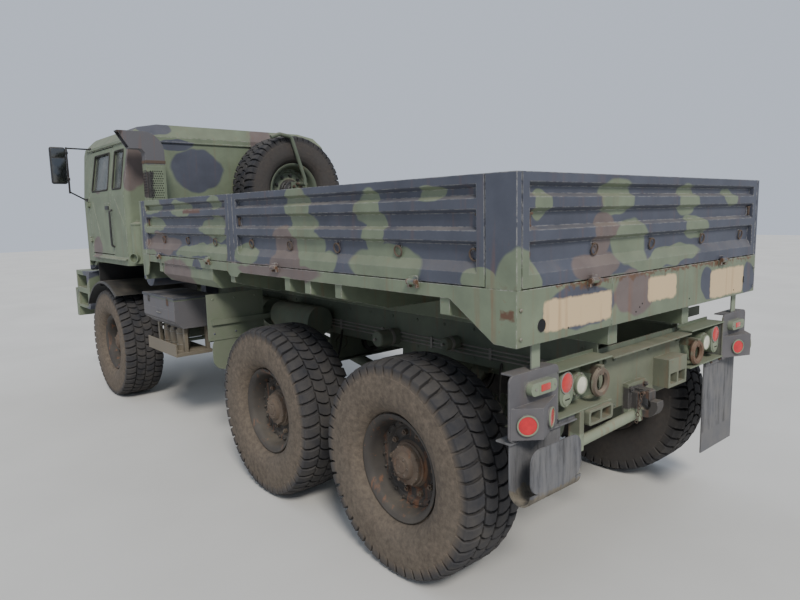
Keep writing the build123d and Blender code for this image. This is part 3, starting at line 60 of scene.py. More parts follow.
lightSetup = {
    "sunTurn": (48, 0, -28), "sunPower": 2.6, "sunSoftness": 14, "sunColor": (1.0, 0.955, 0.88),
    "skyColor": (0.78, 0.86, 1.0), "skyPower": 0.75,
}
sunLight = bpy.data.lights.new("softSun", "SUN")
sunLight.energy, sunLight.color = lightSetup["sunPower"], lightSetup["sunColor"]
sunLight.angle = radians(lightSetup["sunSoftness"])
placeObject("softSun", sunLight).rotation_euler = [radians(a) for a in lightSetup["sunTurn"]]
world = bpy.data.worlds.new("paleSky")
world.use_nodes = True
backdrop = world.node_tree.nodes["Background"]
backdrop.inputs["Color"].default_value = (*lightSetup["skyColor"], 1)
backdrop.inputs["Strength"].default_value = lightSetup["skyPower"]
scene.world = world
print("camera and lights set")


# Node helpers. A socket is fed with a value, a color or another node's output
nodeGrid = {"columns": 8, "first": (-1900, 0), "step": (230, -300)}


def feed(tree, socket, value):
    if isinstance(value, bpy.types.NodeSocket):
        tree.links.new(value, socket)
    elif value is not None:
        socket.default_value = (*value[:3], 1) if socket.type == "RGBA" else value


def addNode(tree, kind, settings=None, **sockets):
    # new nodes stand in rows, left to right
    row, column = divmod(len(tree.nodes), nodeGrid["columns"])
    made = tree.nodes.new(kind)
    made.location = [first + step * n for first, step, n in zip(nodeGrid["first"], nodeGrid["step"], (column, row))]
    for key, value in (settings or {}).items():
        setattr(made, key, value)
    for key, value in sockets.items():
        feed(tree, made.inputs[key], value)
    return made


def addNoise(tree, where, scale, detail, roughness=0.5, distortion=0.0):
    return addNode(tree, "ShaderNodeTexNoise", Vector=where, Scale=scale, Detail=detail, Roughness=roughness,
                   Distortion=distortion).outputs


def addRamp(tree, source, *stops):
    # each stop: its position, then a grey level or a color
    ramp = addNode(tree, "ShaderNodeValToRGB", Fac=source)
    band = ramp.color_ramp
    while len(band.elements) < len(stops):
        band.elements.new(0.5)
    for element, (position, color) in zip(band.elements, stops):
        element.position = position
        element.color = (*color, 1) if isinstance(color, tuple) else (color, color, color, 1)
    return ramp.outputs["Color"]


def addMath(tree, operation, first, second, third=None, clamp=False):
    made = addNode(tree, "ShaderNodeMath", {"operation": operation, "use_clamp": clamp})
    for socket, value in zip(made.inputs, (first, second, third)):
        feed(tree, socket, value)
    return made.outputs[0]


def addVector(tree, operation, first, second=None):
    made = addNode(tree, "ShaderNodeVectorMath", {"operation": operation})
    feed(tree, made.inputs[0], first)
    feed(tree, made.inputs["Scale" if operation == "SCALE" else 1], second)
    return made.outputs["Value" if operation in ("LENGTH", "DOT_PRODUCT") else "Vector"]


def addMix(tree, factor, first, second, blend="MIX"):
    made = addNode(tree, "ShaderNodeMix", {"data_type": "RGBA", "blend_type": blend})
    # float, vector and color sockets share their names
    sockets = [made.inputs[0]] + [s for s in made.inputs if s.type == "RGBA"]
    for socket, value in zip(sockets, (factor, first, second)):
        feed(tree, socket, value)
    return [s for s in made.outputs if s.type == "RGBA"][0]


def addRange(tree, value, start, end, low=0.0, high=1.0):
    # gives out start where the value is low, end where it is high
    made = addNode(tree, "ShaderNodeMapRange", Value=value)
    for name, number in (("From Min", low), ("From Max", high), ("To Min", start), ("To Max", end)):
        made.inputs[name].default_value = number
    return made.outputs[0]


def addBump(tree, height, strength, distance, normal=None):
    return addNode(tree, "ShaderNodeBump", Height=height, Strength=strength, Distance=distance,
                   Normal=normal).outputs[0]


def addWobble(tree, where, scale, detail, roughness, amount):
    # moves the coordinates about, so that an outline wanders
    noise = addNoise(tree, where, scale, detail, roughness)["Color"]
    centred = addVector(tree, "SUBTRACT", noise, (0.5, 0.5, 0.5))
    return addVector(tree, "ADD", where, addVector(tree, "SCALE", centred, amount))


def newGroup(name, inputs, outputs):
    # a shared effect: what it takes besides coordinates, with defaults, and what it gives out
    tree = bpy.data.node_groups.new(name, "ShaderNodeTree")
    tree.interface.new_socket("Vector", in_out="INPUT", socket_type="NodeSocketVector")
    for label, (kind, value) in inputs.items():
        tree.interface.new_socket(label, in_out="INPUT", socket_type="NodeSocket" + kind).default_value = value
    for label, kind in outputs.items():
        tree.interface.new_socket(label, in_out="OUTPUT", socket_type="NodeSocket" + kind)
    return tree, addNode(tree, "NodeGroupInput").outputs, addNode(tree, "NodeGroupOutput").inputs


def useGroup(tree, group, where, **sockets):
    return addNode(tree, "ShaderNodeGroup", {"node_tree": group}, Vector=where, **sockets).outputs


# Shared effects
camoSetup = {
    "scale": 1.15, "stretch": (1.0, 0.72, 1.25), "shift": (7.3, 2.1, 4.4), "levels": (0.545, 0.505), "soft": 0.017,
    # how far outlines wander; where the left side (x) and the back (y) are, and half an area's depth there
    "wobble": 0.16, "flank": -1.22, "back": -3.42, "reach": 0.30,
    # the truck's own paint scheme where the photograph shows it: boxes of a base color, then rounded areas over them
    "bases": [
        ((-1.45, -3.46, 1.605), (-1.00, 0.84, 2.12), "Black"), ((-1.26, -3.60, 1.605), (1.26, -3.33, 2.12), "Black"),
        ((-1.26, -3.60, 1.20), (1.26, 0.84, 1.575), "Green"), ((-1.26, -3.60, 1.20), (1.26, -3.33, 1.605), "Green"),
        ((-1.45, -3.40, 1.30), (-1.00, 0.84, 1.605), "Green"), ((-1.30, 0.84, 1.40), (1.05, 1.62, 2.95), "Green"),
        ((-1.45, 1.62, 1.40), (-0.90, 3.00, 2.95), "Green"),
    ],
    # on the left side's two panels and the trough: middle (y, z), half size (y, z), color
    "leftAreas": [
        (-1.78, 1.98, 0.13, 0.11, "Green"), (-1.83, 1.85, 0.14, 0.10, "Green"), (-1.63, 1.73, 0.14, 0.12, "Brown"),
        (-1.65, 1.62, 0.22, 0.08, "Brown"), (-1.89, 1.74, 0.15, 0.10, "Green"), (-1.98, 1.63, 0.19, 0.08, "Green"),
        (-2.45, 1.97, 0.09, 0.09, "Green"), (-2.51, 1.84, 0.09, 0.10, "Green"), (-2.91, 2.00, 0.09, 0.04, "Green"),
        (-2.58, 1.66, 0.28, 0.11, "Green"), (-3.22, 1.63, 0.10, 0.05, "Green"), (-1.12, 1.67, 0.17, 0.07, "Green"),
        (-1.50, 1.57, 0.50, 0.05, "Brown"), (0.56, 2.03, 0.19, 0.09, "Green"), (-0.05, 1.99, 0.20, 0.07, "Green"),
        (-0.65, 2.00, 0.10, 0.06, "Green"), (-0.62, 1.82, 0.22, 0.08, "Green"), (0.42, 1.71, 0.38, 0.08, "Brown"),
        (0.56, 1.85, 0.22, 0.06, "Green"), (-0.30, 1.65, 0.38, 0.05, "Green"), (-0.66, 1.64, 0.18, 0.09, "Green"),
        (0.72, 1.60, 0.22, 0.07, "Green"), (0.14, 1.46, 0.30, 0.15, "Brown"), (-0.30, 1.54, 0.09, 0.04, "Black"),
    ],
    # on the tailgate and the sill: middle (x, z), half size (x, z), color
    "backAreas": [
        (-1.02, 1.96, 0.05, 0.06, "Green"), (-0.46, 1.99, 0.15, 0.09, "Green"), (-0.56, 1.82, 0.11, 0.11, "Brown"),
        (-0.64, 1.66, 0.19, 0.07, "Brown"), (-0.34, 1.75, 0.15, 0.12, "Green"), (0.02, 1.655, 0.42, 0.05, "Green"),
        (0.27, 1.96, 0.11, 0.10, "Green"), (0.38, 1.80, 0.14, 0.08, "Green"), (0.77, 1.97, 0.10, 0.05, "Green"),
        (-1.14, 1.63, 0.09, 0.06, "Green"), (-0.77, 1.47, 0.30, 0.11, "Black"), (-0.29, 1.50, 0.20, 0.12, "Brown"),
        (0.53, 1.47, 0.09, 0.09, "Black"), (1.12, 1.46, 0.10, 0.10, "Black"),
    ],
    # on the corner post and the cab's back wall, roof corner and side
    "freeAreas": [
        ((-1.20, -3.42, 1.66), (0.12, 0.12, 0.10), "Green"), ((-0.45, 1.42, 2.40), (0.29, 0.40, 0.21), "Black"),
        ((-0.66, 1.42, 2.65), (0.20, 0.40, 0.06), "Black"), ((-0.84, 1.50, 2.80), (0.20, 0.50, 0.06), "Black"),
        ((0.33, 1.42, 2.56), (0.20, 0.40, 0.34), "Brown"), ((-1.15, 1.30, 2.42), (0.30, 0.09, 0.26), "Brown"),
        ((-1.15, 2.20, 2.30), (0.30, 0.13, 0.14), "Brown"), ((-1.22, 2.35, 1.62), (0.30, 0.16, 0.12), "Brown"),
    ],
}


def makeAreaGroup():
    # one rounded area of paint over what is already there
    tree, given, out = newGroup("roundedArea", {"Centre": ("Vector", (0, 0, 0)), "Size": ("Vector", (1, 1, 1))},
                                {"Mask": "Float"})
    away = addVector(tree, "SUBTRACT", given["Vector"], given["Centre"])
    length = addVector(tree, "LENGTH", addVector(tree, "DIVIDE", away, given["Size"]))
    feed(tree, out["Mask"], addRange(tree, length, 0.0, 1.0, 1.05, 0.95))
    return tree


def makePatchGroup():
    # a painted or worn area between two corners, with a ragged soft edge
    tree, given, out = newGroup("paintedPatch", {
        "Low": ("Vector", (0, 0, 0)), "High": ("Vector", (1, 1, 1)), "Ragged": ("Float", 0.02),
        "Rounding": ("Float", 0.002),
    }, {"Mask": "Float"})
    amount = addMath(tree, "MULTIPLY", given["Ragged"], 2.5)
    moved = addWobble(tree, given["Vector"], 19.0, 6.0, 0.7, amount)
    nearest = addVector(tree, "MINIMUM", addVector(tree, "SUBTRACT", moved, given["Low"]),
                        addVector(tree, "SUBTRACT", given["High"], moved))
    depths = addNode(tree, "ShaderNodeSeparateXYZ", Vector=nearest).outputs
    # corners are a little rounded
    least = addMath(tree, "SMOOTH_MIN", depths[0], depths[1], given["Rounding"])
    least = addMath(tree, "SMOOTH_MIN", least, depths[2], given["Rounding"])
    feed(tree, out["Mask"], addRange(tree, least, 0.0, 1.0, -0.001, 0.010))
    return tree


def makeCamoGroup():
    tree, given, out = newGroup("camoPatches", {
        "Green": ("Color", (0.13, 0.17, 0.1, 1)), "Brown": ("Color", (0.16, 0.12, 0.1, 1)),
        "Black": ("Color", (0.07, 0.075, 0.095, 1)),
    }, {"Color": "Color"})
    where = given["Vector"]
    # sides that the photograph leaves out follow the same scheme freely
    stretched = addNode(tree, "ShaderNodeMapping", Vector=where, Scale=camoSetup["stretch"]).outputs[0]
    shifted = addVector(tree, "ADD", stretched, camoSetup["shift"])
    mixed = given["Green"]
    for source, level, paint in zip((stretched, shifted), camoSetup["levels"], ("Brown", "Black")):
        noise = addNoise(tree, source, camoSetup["scale"], 1.5, 0.42, 0.75)["Fac"]
        mixed = addMix(tree, addRamp(tree, noise, (level, 0), (level + camoSetup["soft"], 1)), mixed, given[paint])
    for low, high, paint in camoSetup["bases"]:
        mask = useGroup(tree, patchGroup, where, Low=low, High=high, Ragged=0.0)["Mask"]
        mixed = addMix(tree, mask, mixed, given[paint])
    reach = camoSetup["reach"]
    areas = [((camoSetup["flank"], y, z), (reach, *half), paint) for y, z, *half, paint in camoSetup["leftAreas"]]
    areas += camoSetup["freeAreas"]
    areas += [((x, camoSetup["back"], z), (wide, reach, tall), paint)
              for x, z, wide, tall, paint in camoSetup["backAreas"]]
    moved = addWobble(tree, where, 3.4, 2.0, 0.5, camoSetup["wobble"])
    for centre, size, paint in areas:
        mask = useGroup(tree, areaGroup, moved, Centre=centre, Size=size)["Mask"]
        mixed = addMix(tree, mask, mixed, given[paint])
    faded = addRamp(tree, addNoise(tree, where, 5.0, 6.0, 0.6)["Fac"], (0.3, 0.84), (0.72, (1.18, 1.18, 1.16)))
    feed(tree, out["Color"], addMix(tree, 1.0, mixed, faded, "MULTIPLY"))
    return tree


def makeEdgeGroup():
    tree, given, out = newGroup("wornEdges", {"Radius": ("Float", 0.006), "Amount": ("Float", 0.5)},
                                {"Mask": "Float", "Normal": "Vector"})
    rounded = addNode(tree, "ShaderNodeBevel", {"samples": 4}, Radius=given["Radius"]).outputs[0]
    flat = addNode(tree, "ShaderNodeNewGeometry").outputs["Normal"]
    edge = addRamp(tree, addVector(tree, "DOT_PRODUCT", rounded, flat), (0.75, 1), (0.985, 0))
    chips = addRamp(tree, addNoise(tree, given["Vector"], 26.0, 8.0, 0.68)["Fac"], (0.43, 0), (0.55, 1))
    mask = addMath(tree, "MULTIPLY", edge, chips)
    feed(tree, out["Mask"], addMath(tree, "MULTIPLY", mask, given["Amount"], clamp=True))
    feed(tree, out["Normal"], rounded)
    return tree


def makeGrimeGroup():
    tree, given, out = newGroup("settledGrime", {"LowDirt": ("Float", 1.0)},
                                {"Dust": "Float", "Streaks": "Float", "Spots": "Float"})
    where = given["Vector"]
    normal = addNode(tree, "ShaderNodeNewGeometry").outputs["Normal"]
    up = addRamp(tree, addNode(tree, "ShaderNodeSeparateXYZ", Vector=normal).outputs["Z"], (0.25, 0), (0.95, 1))
    cloudy = addRamp(tree, addNoise(tree, where, 3.2, 9.0, 0.62)["Fac"], (0.33, 0), (0.72, 1))
    height = addNode(tree, "ShaderNodeSeparateXYZ", Vector=where).outputs["Z"]
    low = addRamp(tree, addMath(tree, "MULTIPLY", height, 0.5), (0.12, 1), (0.72, 0))
    both = addMath(tree, "MAXIMUM", up, addMath(tree, "MULTIPLY", low, given["LowDirt"]))
    feed(tree, out["Dust"], addMath(tree, "MULTIPLY", both, cloudy, clamp=True))
    squeezed = addNode(tree, "ShaderNodeMapping", Vector=where, Scale=(22, 22, 1.3)).outputs[0]
    feed(tree, out["Streaks"], addRamp(tree, addNoise(tree, squeezed, 1.0, 5.0, 0.6)["Fac"], (0.56, 0), (0.74, 1)))
    feed(tree, out["Spots"], addRamp(tree, addNoise(tree, where, 38.0, 4.0, 0.7)["Fac"], (0.66, 0), (0.72, 1)))
    return tree


areaGroup = makeAreaGroup()
patchGroup = makePatchGroup()
camoGroup = makeCamoGroup()
edgeGroup = makeEdgeGroup()
grimeGroup = makeGrimeGroup()

colors = {
    "green": (0.150, 0.180, 0.122), "brown": (0.132, 0.104, 0.098), "black": (0.064, 0.070, 0.096),
    "dust": (0.36, 0.31, 0.235), "rust": (0.20, 0.075, 0.028), "bare": (0.46, 0.45, 0.42),
    "paleGreen": (0.20, 0.235, 0.165), "slate": (0.100, 0.097, 0.106), "lid": (0.050, 0.054, 0.068),
    "tan": (0.58, 0.435, 0.255), "dustyTan": (0.145, 0.125, 0.092), "rustBrown": (0.112, 0.060, 0.034),
    "darkIron": (0.045, 0.042, 0.042), "bronze": (0.10, 0.075, 0.055), "soot": (0.03, 0.028, 0.028),
    "fadedRed": (0.115, 0.060, 0.048),
}


def addPatches(tree, where, base, patches):
    # each patch: low corner, high corner, color, how ragged its edge is and, if need be, how round its corners
    for low, high, color, ragged, *rounding in patches:
        mask = useGroup(tree, patchGroup, where, Low=low, High=high, Ragged=ragged,
                        Rounding=rounding[0] if rounding else 0.002)["Mask"]
        base = addMix(tree, mask, base, colors[color])
    return base


def newMaterial(name):
    made = bpy.data.materials.new(name)
    made.use_nodes = True
    tree = made.node_tree
    return tree, tree.nodes["Principled BSDF"], addNode(tree, "ShaderNodeTexCoord").outputs["Object"]


def setShader(tree, shader, values):
    for name, value in values.items():
        feed(tree, shader.inputs[name], value)


def makePaint(name, base, edge, dust, rust, roughness=0.62, bevel=0.004, lowDirt=0.6):
    # camouflage where no base color is given
    tree, shader, where = newMaterial(name)
    if base:
        shade = addRamp(tree, addNoise(tree, where, 4.0, 6.0, 0.6)["Fac"], (0.3, 0.78), (0.7, (1.2, 1.18, 1.14)))
        base = addMix(tree, 1.0, base, shade, "MULTIPLY")
    else:
        base = useGroup(tree, camoGroup, where, Green=colors["green"], Brown=colors["brown"],
                        Black=colors["black"])["Color"]
    base = addPatches(tree, where, base, patchPlaces.get(name, ()))
    edges = useGroup(tree, edgeGroup, where, Radius=bevel, Amount=edge)
    grime = useGroup(tree, grimeGroup, where, LowDirt=lowDirt)
    worn = addMix(tree, edges["Mask"], base, colors["bare"])
    streaks, spots = (addMath(tree, "MULTIPLY", grime[kind], rust, clamp=True) for kind in ("Streaks", "Spots"))
    rusty = addMix(tree, addMath(tree, "MAXIMUM", streaks, spots), worn, colors["rust"])
    dusty = addMath(tree, "MULTIPLY", grime["Dust"], dust, clamp=True)
    setShader(tree, shader, {
        "Base Color": addMix(tree, dusty, rusty, colors["dust"]), "Roughness": addRange(tree, dusty, roughness, 0.95),
        "Normal": addBump(tree, addNoise(tree, where, 55.0, 5.0, 0.6)["Fac"], 0.10, 0.004, edges["Normal"]),
    })


def makeRubber(name, color, dusty, tan, wall=None, streaked=False):
    tree, shader, where = newMaterial(name)
    patchy = addRamp(tree, addNoise(tree, where, 9.0, 10.0, 0.66)["Fac"], (0.35, 0), (0.68, 1))
    mask = addMath(tree, "MULTIPLY", patchy, dusty, clamp=True)
    mixed = addMix(tree, mask, addPatches(tree, where, color, patchPlaces.get(name, ())), tan)
    if wall:
        # dried mud over the side walls, thinning towards the tread, and thinner on the walls turned inwards as painted
        # shade
        mudWithInnerShade = addNode(tree, "ShaderNodeAttribute", {"attribute_name": "roadDustWithInnerShade"}).outputs["Fac"]
        thinned = addMath(tree, "MULTIPLY", patchy, 0.42)
        broken = addMath(tree, "SUBTRACT", addMath(tree, "MULTIPLY", mudWithInnerShade, 1.25), thinned, clamp=True)
        tone = addRamp(tree, addNoise(tree, where, 34.0, 6.0, 0.7)["Fac"], (0.3, 0.60), (0.7, (1.38, 1.35, 1.30)))
        mixed = addMix(tree, broken, mixed, addMix(tree, 1.0, wall, tone, "MULTIPLY"))
    if streaked:
        # dark and pale vertical streaks down the rear flaps: painted shade and highlight of their creases
        tall = addNode(tree, "ShaderNodeMapping", Vector=where, Scale=(26, 26, 3.2)).outputs[0]
        shade = addRamp(tree, addNoise(tree, tall, 1.0, 8.0, 0.72)["Fac"], (0.33, (0.42, 0.42, 0.44)), (0.5, 1),
                        (0.72, (1.35, 1.33, 1.3)))
        rear = useGroup(tree, patchGroup, where, Low=(-1.3, -3.6, 0.5), High=(1.3, -3.1, 1.4), Ragged=0.0)["Mask"]
        mixed = addMix(tree, rear, mixed, addMix(tree, 1.0, mixed, shade, "MULTIPLY"))
    low = addMath(tree, "MULTIPLY", useGroup(tree, grimeGroup, where, LowDirt=1.0)["Dust"], dusty, clamp=True)
    setShader(tree, shader, {
        "Base Color": addMix(tree, low, mixed, tan), "Roughness": 0.88, "Specular IOR Level": 0.3,
        "Normal": addBump(tree, addNoise(tree, where, 140.0, 4.0)["Fac"], 0.25, 0.002),
    })


def makeGlass(name, tint, alpha, dust):
    tree, shader, where = newMaterial(name)
    film = addRamp(tree, addNoise(tree, where, 6.0, 8.0, 0.6)["Fac"], (0.4, 0), (0.8, 1))
    film = addMath(tree, "MULTIPLY", film, dust, clamp=True)
    setShader(tree, shader, {
        "Base Color": addMix(tree, film, tint, (0.42, 0.40, 0.34)), "Alpha": addRange(tree, film, alpha, 0.9),
        "Roughness": addRange(tree, film, 0.06, 0.6), "IOR": 1.5,
    })


def makeLens(name, color, glow, flute):
    tree, shader, where = newMaterial(name)
    shade = addRamp(tree, addNoise(tree, where, 24.0, 6.0, 0.6)["Fac"], (0.3, 0.75), (0.7, 1.15))
    toned = addMix(tree, 1.0, color, shade, "MULTIPLY")
    dusty = addMath(tree, "MULTIPLY", useGroup(tree, grimeGroup, where, LowDirt=0.25)["Dust"], 0.4, clamp=True)
    ribs = addNode(tree, "ShaderNodeTexVoronoi", Vector=where, Scale=flute).outputs["Distance"]
    setShader(tree, shader, {
        "Base Color": addMix(tree, dusty, toned, colors["dust"]), "Emission Color": toned, "Emission Strength": glow,
        "Roughness": 0.22, "Coat Weight": 0.6, "Normal": addBump(tree, ribs, 0.35, 0.001),
    })


def makeMirror(name):
    tree, shader, where = newMaterial(name)
    film = addNoise(tree, where, 9.0, 7.0, 0.6)["Fac"]
    setShader(tree, shader, {
        "Base Color": addRamp(tree, film, (0.4, (0.10, 0.11, 0.12)), (0.75, (0.16, 0.155, 0.14))),
        "Roughness": addRange(tree, film, 0.04, 0.35), "Metallic": 1.0,
    })


def makePlain(name, color, roughness, grainScale, grainDepth):
    tree, shader, where = newMaterial(name)
    grain = addNoise(tree, where, grainScale, 6.0, 0.6)["Fac"]
    toned = addMix(tree, 1.0, color, addRamp(tree, grain, (0.3, 0.8), (0.7, 1.2)), "MULTIPLY")
    dusty = addMath(tree, "MULTIPLY", useGroup(tree, grimeGroup, where, LowDirt=0.2)["Dust"], 0.25, clamp=True)
    setShader(tree, shader, {
        "Base Color": addMix(tree, dusty, toned, colors["dust"]), "Roughness": roughness,
        "Normal": addBump(tree, grain, 0.3, grainDepth),
    })


patchPlaces = {
    # three faded tan areas on the rear sill, rust at its corner and along its top
    "sillPaint": [
        ((-1.045, -3.60, 1.400), (-0.504, -3.30, 1.545), "tan", 0.014, 0.045),
        ((-0.17, -3.60, 1.435), (0.145, -3.30, 1.57), "tan", 0.014, 0.045),
        ((0.56, -3.60, 1.375), (1.04, -3.30, 1.55), "tan", 0.014, 0.045),
        ((-0.95, -3.43, 1.578), (1.15, -3.40, 1.61), "rustBrown", 0.05),
        ((-1.23, -3.41, 1.47), (-1.20, -3.33, 1.52), "rustBrown", 0.02),
        ((-0.78, -3.43, 1.565), (-0.60, -3.40, 1.605), "rustBrown", 0.03),
        ((0.60, -3.43, 1.565), (0.80, -3.40, 1.605), "rustBrown", 0.03),
    ],
    "boxPaint": [
        ((-1.25, 0.26, 0.955), (-0.80, 1.05, 1.215), "slate", 0.004),
        ((-1.25, 0.26, 1.215), (-0.80, 1.05, 1.26), "lid", 0.004),
        ((-1.25, 0.26, 0.60), (-0.80, 1.05, 0.955), "dustyTan", 0.02),
    ],
    "lampPaint": [
        ((-0.875, -3.40, 0.96), (0.875, -3.25, 1.25), "green", 0.01),
        ((-1.12, -3.43, 1.13), (1.12, -3.3795, 1.20), "paleGreen", 0.0),
        ((-1.065, -3.40, 1.243), (-0.995, -3.35, 1.38), "paleGreen", 0.0),
        ((0.995, -3.40, 1.243), (1.065, -3.35, 1.38), "paleGreen", 0.0),
    ],
    "hitchPaint": [
        ((-0.21, -3.50, 0.80), (-0.01, -3.31, 0.985), "darkIron", 0.01),
        ((0.44, -3.45, 0.98), (0.60, -3.33, 1.14), "rustBrown", 0.02),
        ((-0.60, -3.45, 1.00), (-0.45, -3.33, 1.17), "bronze", 0.02),
        ((-0.72, -3.40, 0.77), (-0.10, -3.32, 0.87), "paleGreen", 0.02),
        ((-0.13, -3.40, 0.77), (-0.10, -3.32, 0.87), "rustBrown", 0.02),
    ],
    "uprightPaint": [
        ((-1.26, -3.46, 1.55), (-1.221, 0.9, 1.635), "rustBrown", 0.01),
        ((1.221, -3.46, 1.55), (1.26, 0.9, 1.635), "rustBrown", 0.01),
        ((-0.75, -3.46, 1.55), (0.75, -3.422, 1.635), "rustBrown", 0.01),
    ],
    "stackPaint": [
        ((-1.085, 0.98, 2.11), (-1.0, 1.20, 2.36), "soot", 0.05),
        ((-1.40, 0.98, 2.42), (-0.80, 1.30, 2.80), "slate", 0.03),
        ((-1.32, 1.0, 2.53), (-1.25, 1.25, 2.75), "soot", 0.03),
    ],
    "frontSidePaint": [((-1.23, -0.43, 1.946), (-1.20, -0.10, 1.998), "fadedRed", 0.006)],
    "flapRubber": [
        ((-1.3, -0.60, 0.6), (1.3, -0.2, 1.4), "green", 0.0),
        ((-1.3, -3.60, 0.66), (-0.7, -3.2, 0.735), "dustyTan", 0.05),
    ],
}

# Each paint: base color, worn edges, dust, rust, roughness, radius of the worn edge, dirt from below
paints = {
    "camoPaint": (None, 0.85, 0.42, 0.20, 0.62, 0.008, 0.3),
    "sillPaint": (None, 0.85, 0.34, 0.40, 0.62, 0.008, 0.3),
    "boxPaint": (None, 0.5, 0.45, 0.25, 0.62, 0.004, 0.5),
    "lampPaint": (colors["slate"], 0.4, 0.35, 0.12, 0.7, 0.004, 0.4),
    "hitchPaint": ((0.135, 0.150, 0.105), 0.4, 0.5, 0.5, 0.75),
    "uprightPaint": (None, 1.0, 0.48, 0.3, 0.62, 0.009, 0.3),
    "stackPaint": (None, 0.5, 0.3, 0.35),
    "frontSidePaint": (None, 0.85, 0.28, 0.20, 0.62, 0.008, 0.3),
    "chassisPaint": ((0.105, 0.128, 0.095), 0.35, 0.5, 0.35, 0.75),
    "wheelPaint": ((0.034, 0.030, 0.028), 0.3, 0.26, 0.9, 0.70, 0.003, 0.5),
    "hubIron": ((0.082, 0.056, 0.040), 0.4, 0.45, 1.0, 0.8, 0.002, 1.0),
    "blackPaint": ((0.02, 0.02, 0.022), 0.4, 0.35, 0.1, 0.5),
    "rustySteel": ((0.085, 0.060, 0.046), 0.3, 0.3, 0.6, 0.85, 0.001),
    "wornSteel": ((0.20, 0.19, 0.175), 0.6, 0.3, 0.5, 0.5, 0.001),
    "darkIron": (colors["darkIron"], 0.4, 0.35, 0.5, 0.7, 0.002),
    "fittingPaint": (colors["paleGreen"], 0.5, 0.35, 0.15, 0.7, 0.002),
    "floorSteel": ((0.085, 0.095, 0.070), 0.7, 0.55, 0.8, 0.85),
}
for name, look in paints.items():
    makePaint(name, *look)
makeRubber("tyreRubber", (0.026, 0.028, 0.035), 0.30, (0.15, 0.13, 0.105), wall=(0.118, 0.096, 0.076))
makeRubber("flapRubber", (0.118, 0.120, 0.130), 0.35, (0.20, 0.188, 0.170), streaked=True)
makeRubber("sealRubber", (0.018, 0.018, 0.02), 0.4, (0.12, 0.11, 0.09))
makeGlass("windowGlass", (0.105, 0.120, 0.115), 0.50, 0.45)
makeLens("redLens", (0.48, 0.018, 0.014), 0.10, 260.0)
# the red reflectors glow a little though they hold no lamp: painted light
makeLens("reflectorRed", (0.50, 0.005, 0.012), 0.10, 420.0)
makeLens("creamLens", (0.60, 0.58, 0.46), 0.05, 150.0)
makeLens("clearLens", (0.42, 0.44, 0.44), 0.02, 120.0)
makeLens("amberLens", (0.62, 0.22, 0.02), 0.08, 240.0)
makeMirror("mirrorGlass")
makePlain("blackPlastic", (0.022, 0.022, 0.024), 0.55, 240.0, 0.0006)
# near-black for drain and shield holes, the blackout lamp's slit and the grille's backing: painted shade
makePlain("holeDark", (0.008, 0.008, 0.009), 0.9, 60.0, 0.0005)
makePlain("seatCloth", (0.075, 0.08, 0.06), 0.95, 420.0, 0.001)
print("materials made")

# CAD nodes keep their shape and take a finish
finishes = {
    "camoPaint": ["tailgate", "dropside_rear_left", "dropside_rear_right", "dropside_front_right", "cab_roof",
                  "cab_floor", "cab_back", "cab_front", "cab_side_left", "cab_side_right", "door_left", "door_right",
                  "bumper"],
    "sillPaint": ["bed_frame"],
    "uprightPaint": ["bed_uprights"],
    "frontSidePaint": ["dropside_front_left"],
    "boxPaint": ["side_boxes"],
    "stackPaint": ["exhaust_stack"],
    "lampPaint": ["lamps"],
    "hitchPaint": ["tow_hitch"],
    "chassisPaint": ["frame_rails", "rear_axles", "front_axle", "knuckle_left", "knuckle_right", "tie_rod",
                     "leaf_springs", "engine_and_driveline", "tanks", "spare_carrier"],
    "wheelPaint": [n for n in nodes if n.startswith("wheel_")],
    "tyreRubber": [n for n in nodes if n.startswith("tyre_")],
    "floorSteel": ["bed_floor"],
    "windowGlass": ["cab_glass", "door_glass_left", "door_glass_right"],
    "seatCloth": ["seats"],
    "blackPlastic": ["dashboard", "mirrors"],
    "flapRubber": ["mud_flaps"],
}
for finish, names in finishes.items():
    for name in names:
        nodes[name].data.materials.clear()
        nodes[name].data.materials.append(bpy.data.materials[finish])
print("finishes given")


# Mesh helpers
def keepShape(shape, material=None):
    # a shape that is used many times
    if material is not None:
        for face in shape.faces:
            face.material_index = material
    data = bpy.data.meshes.new("stampShape")
    shape.to_mesh(data)
    shape.free()
    return data


def placeShape(target, shape, matrix=None, material=None):
    # puts a finished shape into a piece's mesh, turned and placed by the matrix
    if matrix is not None:
        bmesh.ops.transform(shape, matrix=matrix, verts=shape.verts)
    carrier = keepShape(shape, material)
    target.from_mesh(carrier)
    bpy.data.meshes.remove(carrier)


def stamp(target, data, matrix):
    vertsBefore, facesBefore = len(target.verts), len(target.faces)
    target.from_mesh(data)
    target.verts.ensure_lookup_table()
    target.faces.ensure_lookup_table()
    bmesh.ops.transform(target, matrix=matrix, verts=target.verts[vertsBefore:])
    if matrix.determinant() < 0:
        bmesh.ops.reverse_faces(target, faces=target.faces[facesBefore:])


def bevelEdges(shape, edges, width, segments=2):
    bmesh.ops.bevel(shape, geom=edges, offset=width, offset_type="OFFSET", segments=segments, profile=0.5,
                    affect="EDGES", material=-1, clamp_overlap=True)


def addBlock(target, low, high, bevel=0.0, segments=2, material=None, matrix=None):
    shape = bmesh.new()
    bmesh.ops.create_cube(shape, size=1)
    low, high = [Vector([pick(pair) for pair in zip(low, high)]) for pick in (min, max)]
    bmesh.ops.scale(shape, vec=high - low, verts=shape.verts)
    if bevel:
        bevelEdges(shape, shape.edges[:], bevel, segments)
    bmesh.ops.translate(shape, vec=(low + high) / 2, verts=shape.verts)
    placeShape(target, shape, matrix, material)


def addBox(target, centre, half, bevel, segments, material):
    # the same by its centre and half its size
    centre, half = Vector(centre), Vector(half)
    addBlock(target, centre - half, centre + half, bevel, segments, material)


